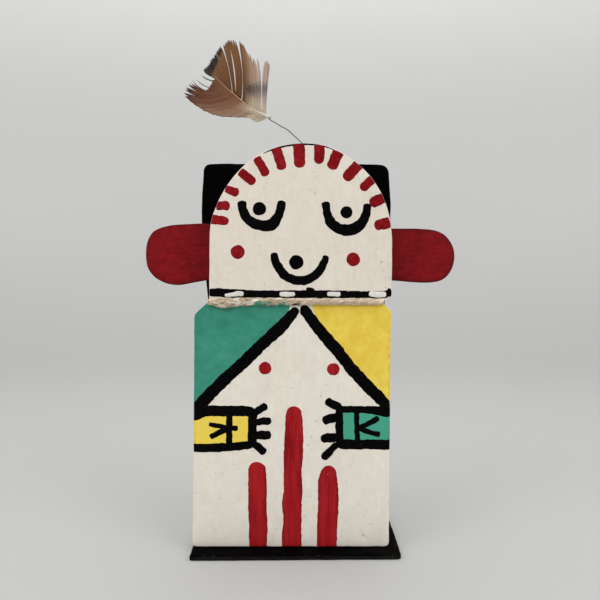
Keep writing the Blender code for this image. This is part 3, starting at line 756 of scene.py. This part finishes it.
def set_the_scene():
    scene = bpy.context.scene
    scene.view_settings.view_transform = "Standard"
    eye = bpy.data.cameras.new("camera")
    camera = bpy.data.objects.new("camera", eye)
    camera.location = Vector((1.85, FRONT - 300.0, 113.9)) * MM
    camera.rotation_euler = (math.pi / 2, 0, 0)
    eye.sensor_width, eye.lens, eye.clip_start = 36.0, 39.82, 0.01
    scene.collection.objects.link(camera)
    scene.camera = camera
    make_floor()

    world = bpy.data.worlds.new("studio")
    scene.world = world
    world.use_nodes = True
    sky = world.node_tree.nodes["Background"].inputs
    sky[0].default_value, sky[1].default_value = (1.0, 0.995, 0.985, 1), 0.46
    for name, place, aim, size, power in (
        ("top light", (0.0, -0.1, 1.2), (0, 0, 0.1), 1.0, 5.6),
        ("left light", (-0.9, -0.9, 0.8), (0, 0, 0.1), 0.8, 4.3),
        ("right light", (0.9, -0.9, 0.8), (0, 0, 0.1), 0.8, 4.3),
        ("back light", (0.0, 1.0, 1.1), (0, 0, 0.15), 1.0, 2.5),
    ):
        lamp = bpy.data.lights.new(name, "AREA")
        lamp.size, lamp.energy = size, power
        light = bpy.data.objects.new(name, lamp)
        light.location = place
        light.rotation_euler = (Vector(aim) - Vector(place)).to_track_quat("-Z", "Y").to_euler()
        scene.collection.objects.link(light)


# --- boards ---------------------------------------------------------------------------------
def screw_sink(node, head_r, head_h, radius, direction):
    """A countersunk hole around a CAD screw."""
    low, high = box_mm(node)
    way = Vector(direction)
    length = (high - low).dot(Vector([abs(c) for c in way]))
    profile = ((head_r + 0.35, -1.0), (head_r + 0.3, 0.25), (radius + 0.3, head_h + 0.15),
               (radius + 0.3, length + 0.4))
    return drill(profile, (low + high) / 2 - way * (length / 2), way)


def make_boards():
    back = [screw_sink("back_screw_%s_%s" % (part, side), 3.5, 2.2, 1.75, (0, -1, 0))
            for part in ("body", "head") for side in ("left", "right")]
    under = [screw_sink("base_screw_" + side, 2.9, 1.5, 1.5, (0, 0, 1)) for side in ("left", "right")]
    mouth = (SHANK_AT.x, SHANK_AT.y, HEAD_HIGH.z)
    wire_hole = drill(((0.9, -0.5), (0.6, 0.25), (0.6, 12.4)), mouth, (0, 0, -1), 20)

    board("base_board", Rim(BASE_OUTLINE, (0, 0), 1.0, 0.2, 0.4, 21), BASE_HIGH.z, BASE_LOW.z, MAT_BASE,
          21, upright=False, swell=0.0, holes=under, replaces=["base_plate"])
    board("body", BODY_RIM, FRONT, BODY_HIGH.y, MAT_BODY, 31, at=BODY_AT, swell=0.05,
          holes=under + back[:2], replaces=["body_board"],
          dents=((32.1, 5.2, 0.9, 0.35), (-22.0, 30.0, 0.6, 0.12), (38.0, 22.0, 0.5, 0.12)))
    board("head", HEAD_RIM, FRONT, HEAD_HIGH.y, MAT_HEAD, 41, at=HEAD_AT, swell=0.04,
          holes=[wire_hole] + back[2:], replaces=["head_board"],
          dents=((6.3, 49.2, 0.8, 0.12), (-30.0, 10.0, 0.5, 0.1)))
    board("hair", Rim(HAIR_OUTLINE, (0, 0), 0.9, 0.2, 0.9, 51), HAIR_LOW.y, HAIR_HIGH.y, MAT_HAIR, 51,
          swell=0.08, holes=back, replaces=["hair_board"])
    for side, outline, seed in (("left", EAR_LEFT, 64), ("right", EAR_RIGHT, 65)):
        low, high = box_mm("ear_" + side)
        board("ear_%s_board" % side, Rim(outline, (0, 0), 0.8, 0.15, 0.45, seed), low.y, high.y,
              MAT_EAR, seed, swell=0.05, replaces=["ear_" + side])


# --- paint -----------------------------------------------------------------------------------
def make_paint():
    def coat(name, mat, at, slot, *jobs):
        """Paint in one colour. A job is (tool, shapes, lift, first shape's seed, tool's settings)."""
        bm = bmesh.new()
        for tool, shapes, lift, seed, settings in jobs:
            for i, shape in enumerate(shapes):
                tool(bm, shape, at, lift, seed + i, **settings)
        finish(name, bm, mat, "doll")

    flecks = []
    for u, v, long, tilt in BAND_FLECKS:
        du, dv = math.cos(tilt) * long / 2, math.sin(tilt) * long / 2
        flecks.append(((u - du, v - dv, 0.12), (u, v, 0.24), (u + du, v + dv, 0.12)))
    brows = [(a, mix_points(a, b, 0.5), b) for a, b in BROW_DASHES]

    coat("face_lines", MAT_BLACK, ON_HEAD, "head_cream",
         (brush, (*EYE_LINES, MOUTH_LINE), BLACK_LIFT, 1,
          {"ends": (0.6, 0.6), "wobble": 0.22, "spread": 0.45}),
         (blob, FACE_DOTS, BLACK_LIFT, 11, {}))
    coat("neck_band", MAT_BLACK, ON_HEAD, "head_cream",
         (brush, [BAND_LINE], BLACK_LIFT * 0.8, 21, {"ends": (0.6, 0.4), "wobble": 0.16}),
         (brush, [BAND_BUMP], BLACK_LIFT * 0.7, 22, {"wobble": 0.26}),
         (brush, [ARCH_RIM], 0.04, 23, {"wobble": 0.1}))
    coat("neck_band_dashes", MAT_WHITE, ON_HEAD, "head_cream",
         (brush, BAND_DASHES, WHITE_LIFT, 31, {"ends": (0.8, 0.8), "wobble": 0.22}),
         (brush, flecks, WHITE_LIFT * 0.8, 201, {"wobble": 0.07}))
    coat("brow_and_cheeks", MAT_RED_FACE, ON_HEAD, "head_cream",
         (brush, brows, RED_LIFT, 41, {"ends": (0.3, 0.85), "wobble": 0.22, "spread": 0.45}),
         (blob, CHEEK_DOTS, RED_LIFT, 61, {}))
    coat("yoke_green", MAT_GREEN, ON_BODY, "body_cream",
         (field, [GREEN_YOKE], FIELD_LIFT, 1, {}),
         (field, [CUFF_RIGHT_FILL], FIELD_LIFT, 3, {"corner": 0.4}))
    coat("yoke_yellow", MAT_YELLOW, ON_BODY, "body_cream",
         (field, [YELLOW_YOKE], FIELD_LIFT, 2, {}),
         (field, [CUFF_LEFT_FILL], FIELD_LIFT, 4, {"corner": 0.4}))
    coat("dress_lines", MAT_BLACK, ON_BODY, "body_cream",
         (brush, YOKE_LINES, BLACK_LIFT, 71, {"ends": (0.75, 0.1), "wobble": 0.26, "spread": 0.25}),
         (brush, CUFF_LINES, BLACK_LIFT, 81, {"ends": (0.7, 0.7), "wobble": 0.2, "spread": 0.3}),
         (brush, FINGERS, BLACK_LIFT, 101, {"ends": (0.7, 0.8), "wobble": 0.24, "spread": 0.5}))
    coat("dress_stripes", MAT_RED, ON_BODY, "body_cream",
         (brush, RED_STRIPES, RED_LIFT, 111, {"ends": (0.85, 0.0), "wobble": 0.17}),
         (blob, CHEST_DOTS, RED_LIFT, 121, {}))


# --- neck twine ------------------------------------------------------------------------------
def tube(bm, path, radii, sides, tone=None, shade=0.0):
    """A closed tube along a path of millimetre points; its frame turns smoothly."""
    up = Vector((0.013, 0.021, 1.0)).normalized()
    rings, normal = [], None
    for i, here in enumerate(path):
        way = (path[min(i + 1, len(path) - 1)] - path[max(i - 1, 0)]).normalized()
        if normal is None:
            normal = way.cross(up).normalized()
        normal = (normal - way * normal.dot(way)).normalized()
        across = way.cross(normal)
        ring = []
        for c, s in circle(sides):
            ring.append(bm.verts.new((here + normal * radii[i] * c + across * radii[i] * s) * MM))
            if tone is not None:
                ring[-1][tone] = shade
        rings.append(ring)
    loft(bm, rings)


TWINE_Y, TWINE_Z = TWINE_LOW.y + 1.72, TWINE_LOW.z + 1.6
BULGE_X = -31.5  # where loose fibres bunch up and hang low
THIRD = 2.094  # of a turn, from one strand to the next


def twine_girth(x):
    """The cord is fuller on the left, and uneven all along."""
    return (1.02 - 0.09 * math.tanh((x + 2) / 8) + 0.10 * ripple(x * 0.3, 2.0)
            + 0.07 * ripple(x * 0.9, 5.0) + 0.10 * math.exp(-((x - BULGE_X) / 4.5) ** 2))


def twine_centre(x):
    droop = math.exp(-((x - BULGE_X) / 4.2) ** 2)
    return Vector((x, TWINE_Y + 0.2 * ripple(x * 0.16, 4.0) - 0.25 * droop,
                   TWINE_Z + 0.2 * ripple(x * 0.13, 9.0) + 0.12 * ripple(x * 0.5, 3.0) - 0.65 * droop))


def make_twine():
    rng = random.Random(7)
    bm = bmesh.new()
    tone = bm.verts.layers.float.new("tone")
    x0, x1 = TWINE_LOW.x, TWINE_HIGH.x

    def strand(start, end, turn, reach, thick, sides, shade, pitch=15.0, fuzz=0.0, lift=0.0):
        count = max(8, int((end - start) / 0.42))
        path, radii = [], []
        for i in range(count + 1):
            f = i / count
            x = start + (end - start) * f
            a = turn + 2 * math.pi * (x - (start if fuzz or lift else 0)) / pitch
            a += 0.9 * ripple(x * 0.09, 1.0) + 0.35 * ripple(x * 0.4, turn)
            r = reach * twine_girth(x) * (1 + 0.14 * ripple(x * 0.35, turn, 2.0)) + fuzz * f * f
            r += lift * math.sin(math.pi * f)
            path.append(twine_centre(x) + Vector((0, -math.cos(a) * r, math.sin(a) * r)))
            taper = min(1.0, 0.35 + 8 * min(f, 1 - f)) if fuzz or thick < 0.3 else 1.0
            radii.append(thick * taper * (1 + 0.22 * ripple(x * 0.6, turn * 3.0, thick)))
        tube(bm, path, radii, sides, tone, shade)

    for k in range(3):
        strand(x0, x1, THIRD * k, 0.55, 0.94, 16, 0.4)
    for _ in range(420):
        length = rng.uniform(5, 20)
        start = rng.uniform(x0, max(x0, x1 - length))
        turn = THIRD * rng.randrange(3) + rng.uniform(-0.8, 0.8)
        strand(start, min(start + length, x1), turn, rng.uniform(1.2, 1.5), rng.uniform(0.06, 0.17), 5,
               rng.random(), pitch=rng.choice((15.0, 15.0, 15.0, 24.0, 45.0, -60.0)))
    for _ in range(150):
        start = rng.uniform(x0 + 1, x1 - 8)
        strand(start, start + rng.uniform(3, 8), rng.uniform(-2.4, 1.6), 1.38, 0.05, 4, rng.random(),
               pitch=rng.choice((-1, 1)) * rng.uniform(9, 50), fuzz=rng.uniform(0.1, 0.6),
               lift=rng.uniform(0.0, 0.25))
    for _ in range(44):
        start = rng.uniform(-37.0, -30.0)
        strand(start, start + rng.uniform(3, 6), rng.uniform(-2.3, -0.9), rng.uniform(1.4, 1.85),
               rng.uniform(0.1, 0.24), 5, rng.random(), pitch=rng.uniform(25, 60), lift=0.1)
    piece = finish("neck_twine_strands", bm, twine_fibre(), "doll")
    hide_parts("neck_twine")


def twine_fibre():
    """Pale jute with brown blots, a smear of green paint and a black dab from the yokes."""
    p = Paint("twine_fibre", 0.9)
    p.out.inputs["Sheen Weight"].default_value = 0.25
    fine = p.grain((900, 2200, 2200), 4.0, 0.6)
    cloud = p.grain((180, 420, 420), 3.0, 0.55, (3, 1, 2))
    blot = p.grain((420, 900, 900), 3.0, 0.6, (1, 6, 2))
    smear = p.grain((260, 260, 420), 3.0, 0.6, (8, 8, 1))
    x, _, z = p.axes()
    p.colour = p.mix(p.attribute("tone"), (240, 228, 206), (186, 158, 122))
    p.cover(p.ramp(fine, 0.40, 0.62, 0.0, 0.7), (160, 130, 98))
    p.cover(p.ramp(cloud, 0.50, 0.62, 0.0, 0.85), (244, 238, 226))
    p.cover(p.ramp(blot, 0.60, 0.66, 0.0, 0.75), (112, 76, 54))

    def between(start, end, soft):
        rise = p.ramp(x, start * MM, (start + soft) * MM)
        return p.times(rise, p.ramp(x, (end - soft) * MM, end * MM, 1.0, 0.0))

    p.cover(p.ramp(x, -2 * MM, 8 * MM, 0.0, 0.4), (228, 204, 184))
    spots = p.plus(between(-20.5, -9.6, 4.5), between(-9.9, -2.4, 2.6))
    spots = p.plus(spots, p.times(smear, 3.4))
    low = p.ramp(z, (TWINE_Z + 1.3) * MM, (TWINE_Z - 0.2) * MM, -0.9, 0.0)
    p.cover(p.ramp(p.plus(spots, low), 2.36, 2.52, 0.0, 0.95), (74, 148, 122))
    dab = p.times(between(-3.4, 2.4, 1.2), p.ramp(z, (TWINE_Z - 0.5) * MM, (TWINE_Z - 0.9) * MM))
    p.cover(p.times(dab, p.ramp(smear, 0.45, 0.5)), (30, 24, 22))
    return p.surface(None, fine, 0.00008, 0.7)


# --- wire and feather ------------------------------------------------------------------------
MOUTH = Vector((QUILL_HIGH.x - 0.25, (QUILL_LOW.y + QUILL_HIGH.y) / 2, QUILL_LOW.z + 1.45))
# Spine of the feather, then its barbs, in (x, z) from the open end of the quill. A clump lists
# guide barbs (how far left the root is, tip x, tip z); the barbs between guides are filled in.
SPINE = ((0.3, -0.15), (-1.8, 0.95), (-4.0, 2.0), (-6.2, 3.1), (-9.4, 5.1), (-12.9, 8.0), (-17.4, 11.8),
         (-21.0, 14.9), (-23.8, 17.7), (-25.6, 19.6))
UPPER_CLUMPS = (
    ((-1.8, 0.1, 25.4, 0.0), (-2.4, -1.0, 27.2, 0.0), (-3.1, -2.0, 26.4, 0.0)),
    ((-4.4, -5.5, 27.0, -0.02), (-4.6, -5.8, 27.6, -0.02)),
    ((-5.0, -7.0, 27.4, -0.03), (-5.8, -7.8, 28.6, -0.03)),
    ((-6.1, -8.6, 28.0, -0.035), (-7.2, -9.4, 30.0, -0.035)),
    ((-7.5, -10.0, 29.9, -0.035), (-9.0, -11.0, 31.6, -0.04), (-10.4, -12.0, 33.4, -0.045),
     (-11.6, -13.0, 34.9, -0.045), (-12.6, -14.0, 35.9, -0.05)),
    ((-13.4, -16.2, 36.1, -0.055), (-14.6, -17.6, 36.4, -0.055), (-15.7, -19.3, 36.3, -0.058)),
    ((-16.1, -19.6, 36.1, -0.026), (-16.8, -20.6, 35.4, -0.03), (-17.1, -21.6, 34.3, -0.036)),
    ((-17.7, -22.9, 33.5, -0.03), (-19.0, -25.0, 30.6, -0.02), (-20.4, -27.3, 27.2, -0.01),
     (-21.8, -29.6, 24.3, 0.0), (-23.0, -30.9, 22.3, 0.02), (-24.2, -28.6, 20.8, 0.02),
     (-25.2, -26.8, 20.0, 0.0)),
)
LOWER_CLUMPS = (
    ((-1.3, -2.2, -0.5, 0.05), (-2.6, -4.8, -1.7, 0.05), (-4.0, -6.9, -2.2, 0.06), (-4.9, -8.6, -1.0, 0.08)),
    ((-5.1, -9.2, 0.0, 0.09), (-6.8, -13.0, 0.4, 0.1), (-9.4, -17.6, 0.3, 0.11), (-10.8, -22.6, 0.8, 0.12),
     (-12.0, -26.8, 1.8, 0.12), (-13.2, -30.6, 3.4, 0.13), (-14.2, -32.6, 4.6, 0.13)),
    ((-14.4, -33.3, 5.1, 0.13), (-15.9, -36.4, 7.2, 0.13), (-17.2, -38.8, 9.3, 0.14)),
    ((-17.4, -39.2, 10.0, 0.14), (-18.3, -39.9, 11.8, 0.15)),
    ((-18.5, -39.5, 13.0, 0.155), (-19.4, -38.9, 14.4, 0.17)),
    ((-19.6, -38.1, 15.5, 0.175), (-20.2, -37.0, 16.3, 0.19)),
    ((-20.4, -30.9, 12.4, 0.19), (-21.6, -29.6, 13.0, 0.19), (-23.0, -28.0, 14.8, 0.14),
     (-24.6, -26.6, 17.6, 0.06)),
)
# barbs that stray on their own: (root, tip x, tip z, width, bow)
LOOSE_BARBS = ((-20.2, -36.3, 17.9, 0.5, 0.24), (-21.2, -34.2, 18.2, 0.36, 0.2),
               (-23.4, -31.9, 20.0, 0.55, 0.12), (-24.6, -30.6, 21.6, 0.34, 0.06))
LOOSE_TONE = 2.0  # the other barbs' tones run from 0 to 1


def spine_at(x):
    for a, b in zip(SPINE, SPINE[1:]):
        if b[0] <= x <= a[0]:
            return a[1] + (b[1] - a[1]) * (x - a[0]) / (b[0] - a[0])
    return SPINE[-1][1]


def place(x, z, off=0.0):
    """Where a point of the flat feather lies: it is cupped a little both ways."""
    return MOUTH + Vector((x, off + 0.00045 * x * x + 0.35 * math.sin(z * 0.09) - 0.2, z))


def barb(bm, layers, root, heading, tip, bow, w0, w1, shift, fade, tone):
    """One barb: a thin flat ribbon from the spine to its tip, tapering to a hair.

    It follows the heading of its neighbours at first, and turns to its own tip later."""
    x0, z0 = root, spine_at(root)
    run, rise = heading[0] - x0, heading[1] - z0
    line = [(x0 + run * f - rise * bow * bend, z0 + rise * f + run * bow * bend)
            for f, bend in ((0.0, 0.0), (0.33, 1.3), (0.7, 1.1))] + [tip]
    ways = [(b[0] - a[0], b[1] - a[1]) for a, b in zip(line, line[1:])]
    rings = []
    for i in range(17):
        t = i / 16
        dx, dz = bezier(ways, t)
        side = Vector((-dz, 0.0, dx)).normalized()
        half = 0.5 * (w0 + (w1 - w0) * t) * min(1.0, 0.12 + (1 - t) * fade)
        here = place(*bezier(line, t), shift * (0.4 + 0.6 * t))
        ring = []
        for across, deep in ((-1, 0), (0, -0.03), (1, 0), (0, 0.03)):
            spot = here + (side + Vector((0, 0.13, 0))) * half * across + Vector((0, deep, 0))
            vert = bm.verts.new(spot * MM)
            for layer, value in zip(layers, (t, -x0 / 26.0, tone)):
                vert[layer] = value
            ring.append(vert)
        rings.append(ring)
    loft(bm, rings)


def fill_clumps(clumps):
    """Barbs between the guides: (root, tip x, tip z, bow, number of the clump)."""
    picks = []
    for number, guides in enumerate(clumps):
        path = spline(guides, 0.05) if len(guides) > 2 else [
            mix_points(*guides, k / 12) for k in range(13)]
        run = [0.0]
        for a, b in zip(path, path[1:]):
            run.append(run[-1] + math.dist((a[0], spine_at(a[0])), (b[0], spine_at(b[0]))) * 0.5
                       + math.dist(a[1:3], b[1:3]) * 0.5)
        count = max(2, int(run[-1] / 0.36))
        k = 0
        for i in range(count + 1):
            along = run[-1] * i / count
            while k < len(run) - 2 and run[k + 1] < along:
                k += 1
            f = (along - run[k]) / max(run[k + 1] - run[k], 1e-9)
            picks.append((*mix_points(path[k], path[k + 1], f), number))
    return picks


def vane(rng, name, clumps, node, mat, loose=()):
    bm = bmesh.new()
    layers = [bm.verts.layers.float.new(n) for n in ("along", "spine", "tone")]
    picks = fill_clumps(clumps)
    for i, (root, tx, tz, bow, number) in enumerate(picks):
        foot = (root, spine_at(root))
        near = picks[i - 1] if i and picks[i - 1][4] == number else picks[i + 1]
        gap0 = math.dist(foot, (near[0], spine_at(near[0])))
        gap1 = math.dist((tx, tz), near[1:3])
        around = picks[max(0, i - 5):i + 6]
        heading = [sum(q[c] for q in around) / len(around) for c in (1, 2)]
        long = 1 + rng.uniform(-0.7, 0.3) / max(6.0, math.dist(foot, (tx, tz)))
        tip = (root + (tx - root) * long + rng.uniform(-0.12, 0.12), foot[1] + (tz - foot[1]) * long)
        barb(bm, layers, root, heading, tip, bow + rng.uniform(-0.004, 0.004),
             max(0.3, min(0.56, gap0 * 1.9)), min(0.86, max(0.42, gap1 * 1.75)),
             rng.uniform(-0.06, 0.06) + 0.02 * (number % 2), rng.uniform(6, 11), rng.random())
    for root, tx, tz, width, bow in loose:
        barb(bm, layers, root, (tx, tz), (tx, tz), bow, width, width * 0.9, 0.1, 5, LOOSE_TONE)
    piece = finish(name, bm, mat, "feather", weld=1e-8)
    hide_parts(node)


def start_barbs(name):
    p = Paint(name, 0.62, 0.2)
    p.out.inputs["Sheen Weight"].default_value = 0.1
    fine = p.grain((1200, 200, 1200), 3.0, 0.6)
    along = p.plus(p.attribute("along"), p.ramp(fine, 0.3, 0.7, -0.035, 0.035))
    return p, along, p.attribute("spine"), p.attribute("tone"), fine


def finish_barbs(p, tone, fine, loose=None):
    p.cover(p.ramp(tone, 0.0, 1.0, 0.0, 0.3), (64, 42, 30))
    p.cover(p.ramp(fine, 0.5, 0.8, 0.0, 0.25), (176, 132, 96))
    if loose:
        p.cover(p.ramp(tone, 1.4, 1.6), loose)
    return p.surface(None, fine, 0.00004, 0.5)


def upper_barbs():
    """Brown, greyer and paler to the right, a dark smudge low down, black upper-left tips."""
    p, along, spine, tone, fine = start_barbs("feather_upper_barbs")
    brown = p.mix(p.ramp(along, 0.0, 0.9), (100, 56, 24), (136, 92, 52))
    tan = p.mix(p.ramp(along, 0.2, 0.9), (172, 140, 112), (180, 142, 106))
    grey = p.mix(p.ramp(along, 0.35, 0.7), (190, 172, 160), (194, 168, 154))
    p.colour = p.mix(p.ramp(spine, 0.36, 0.47), tan, brown)
    p.cover(p.ramp(spine, 0.33, 0.2), grey)
    high = p.plus(p.axes()[2], p.ramp(fine, 0.3, 0.7, -0.0012, 0.0012))
    band = p.times(p.ramp(high, (MOUTH.z + 8.5) * MM, (MOUTH.z + 12.5) * MM),
                   p.ramp(high, (MOUTH.z + 17.2) * MM, (MOUTH.z + 14.6) * MM))
    dusk = p.mix(p.ramp(spine, 0.4, 0.2), (84, 62, 54), (122, 112, 110))
    p.cover(p.times(band, p.ramp(spine, 0.54, 0.40, 0.0, 0.9)), dusk)
    p.cover(p.times(p.ramp(spine, 0.46, 0.26), p.ramp(along, 0.24, 0.04)), (222, 208, 182))
    p.cover(p.times(p.ramp(along, 0.9, 0.98, 0.0, 0.75), p.ramp(spine, 0.28, 0.45)), (66, 50, 40))
    beyond = p.ramp(p.minus(along, p.ramp(spine, 0.66, 0.88, 0.93, 0.54)), -0.04, 0.04)
    streak = p.mix(p.ramp(tone, 0.84, 0.88), (14, 10, 10), (120, 112, 112))
    p.cover(p.times(beyond, p.ramp(spine, 0.64, 0.69)), streak)
    return finish_barbs(p, tone, fine)


def lower_barbs():
    """Brown by the spine, pinkish along the lower margin, black lobe tips."""
    p, along, spine, tone, fine = start_barbs("feather_lower_barbs")
    brown = p.mix(p.ramp(along, 0.0, 0.75), (116, 68, 32), (98, 48, 18))
    pink = p.mix(p.ramp(along, 0.0, 0.8), (166, 134, 108), (154, 124, 106))
    middle = p.mix(p.ramp(along, 0.1, 0.9), (128, 84, 48), (138, 102, 78))
    p.colour = p.mix(p.ramp(spine, 0.34, 0.5), pink, middle)
    p.cover(p.ramp(spine, 0.52, 0.66), brown)
    p.cover(p.times(p.ramp(tone, 0.9, 0.93, 0.0, 0.5), p.ramp(spine, 0.55, 0.45)), (196, 168, 148))
    beyond = p.ramp(p.minus(along, p.ramp(spine, 0.6, 0.72, 0.96, 0.86)), -0.04, 0.06)
    lobes = p.times(p.ramp(spine, 0.54, 0.6), p.ramp(spine, 0.785, 0.775))
    p.cover(p.times(beyond, lobes), (22, 16, 17))
    foot = p.plus(p.ramp(spine, 0.27, 0.23), p.times(p.ramp(spine, 0.5, 0.3), p.ramp(along, 0.35, 0.02)))
    p.cover(p.add("Clamp", {0: foot}).outputs[0], (216, 202, 176))
    return finish_barbs(p, tone, fine, (58, 50, 44))


def make_down(rng):
    """Short pale curls at the foot of the vanes."""
    bm = bmesh.new()
    for _ in range(230):
        x = rng.uniform(-1.0, -8.5)
        z = spine_at(x)
        low = rng.random() < 0.62
        heading = math.radians(rng.uniform(205, 262) if low else rng.uniform(84, 142))
        step = rng.uniform(2.0, 5.2) * (1.0 if low else 1.25) * min(1.0, 0.45 - x * 0.14) / 8
        curl = rng.uniform(-0.16, 0.06) if low else rng.uniform(-0.05, 0.08)
        path, depth = [], rng.uniform(-0.5, 0.5)
        for k in range(9):
            path.append(place(x, z, depth * k / 8))
            x += math.cos(heading) * step
            z += math.sin(heading) * step
            heading += curl
        tube(bm, path, [rng.uniform(0.07, 0.12) * (1 - k / 9.5) for k in range(9)], 5)
    p = Paint("feather_down", 0.8)
    p.out.inputs["Sheen Weight"].default_value = 0.3
    fine = p.grain((900, 900, 900), 3.0)
    p.colour = p.mix(fine, (226, 214, 192), (196, 178, 152))
    finish("feather_down_curls", bm, p.surface(None, fine, 0.00003), "feather", weld=1e-8)


def make_quill():
    """The quill: a hollow end over the wire, running on as the tapering spine."""
    bm = bmesh.new()
    line = [place(x, z) for x, z in spline(SPINE, 0.8)]
    last = len(line) - 1
    sizes = [max(0.08, 0.84 - 0.2 * min(1, i / 4) - 0.26 * min(1, i / 11) - 0.28 * (i / last) ** 0.8)
             for i in range(last + 1)]
    bore = [(k, 0.55) for k in range(min(5, last - 1), -1, -1)]
    rings = []
    for i, part in (*bore, (0, 0.88), *((k, 1.0) for k in range(last + 1))):
        way = (line[min(i + 1, last)] - line[max(i - 1, 0)]).normalized()
        across = way.cross(Vector((0, 1, 0))).normalized()
        deep = way.cross(across)
        r = sizes[i] * part
        slant = 0.35 if i == 0 else 0.0
        rings.append([bm.verts.new((line[i] + across * r * c + deep * r * s + way * slant * c) * MM)
                      for c, s in circle(18)])
    loft(bm, rings)
    p = Paint("quill_horn", 0.35)
    fine = p.grain((300, 300, 300), 3.0)
    p.colour = p.mix(fine, (220, 216, 208), (200, 194, 184))
    p.cover(p.ramp(p.axes()[0], (MOUTH.x - 3) * MM, (MOUTH.x - 12) * MM), (196, 152, 116))
    piece = finish("feather_spine", bm, p.surface(None, fine, 0.00003, 0.4), "feather",
                   weld=1e-8)
    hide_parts("feather_quill")


def make_feather():
    rng = random.Random(11)
    vane(rng, "feather_upper_vane", UPPER_CLUMPS, "feather_vane_upper", upper_barbs())
    vane(rng, "feather_lower_vane", LOWER_CLUMPS, "feather_vane_lower", lower_barbs(), LOOSE_BARBS)
    make_down(rng)
    make_quill()


def make_wire():
    x, y = SHANK_AT.x, SHANK_AT.y
    foot, top = SHANK_LOW.z, SHANK_HIGH.z
    inside = spline(SPINE, 0.8)[3]
    bends = ((0.05, 0.9), (0.8, 1.9), (4.3, 5.1), (7.9, 8.4), (9.4, 9.2), (11.0, 10.0), (13.5, 11.7),
             (14.3, 12.0), (15.6, 12.7))
    points = [(x, y, foot), (x, y, foot + 5), (x, y, top), *((x - left, y, top + up) for left, up in bends),
              (MOUTH.x + inside[0], MOUTH.y - 0.15, MOUTH.z + inside[1])]
    path = []
    for a, b in zip(points, points[1:]):
        count = max(2, int(math.dist(a, b) / 0.5))
        path += [Vector(mix_points(a, b, k / count)) for k in range(count)]
    path.append(Vector(points[-1]))
    for _ in range(2):
        path = [path[0]] + [(path[i - 1] + path[i] * 2 + path[i + 1]) / 4
                            for i in range(1, len(path) - 1)] + [path[-1]]
    bm = bmesh.new()
    tube(bm, path, [0.27 + 0.015 * ripple(i * 0.3, 1.0) for i in range(len(path))], 14)
    piece = finish("feather_wire", bm, MAT_WIRE, None)
    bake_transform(piece)
    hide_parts("wire_shank", "wire_stem")


set_the_scene()
make_boards()
make_paint()
make_twine()
make_wire()
make_feather()

for name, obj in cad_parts.items():
    if "screw" in name or "brad" in name:
        obj.data.materials.clear()
        obj.data.materials.append(MAT_SCREW)
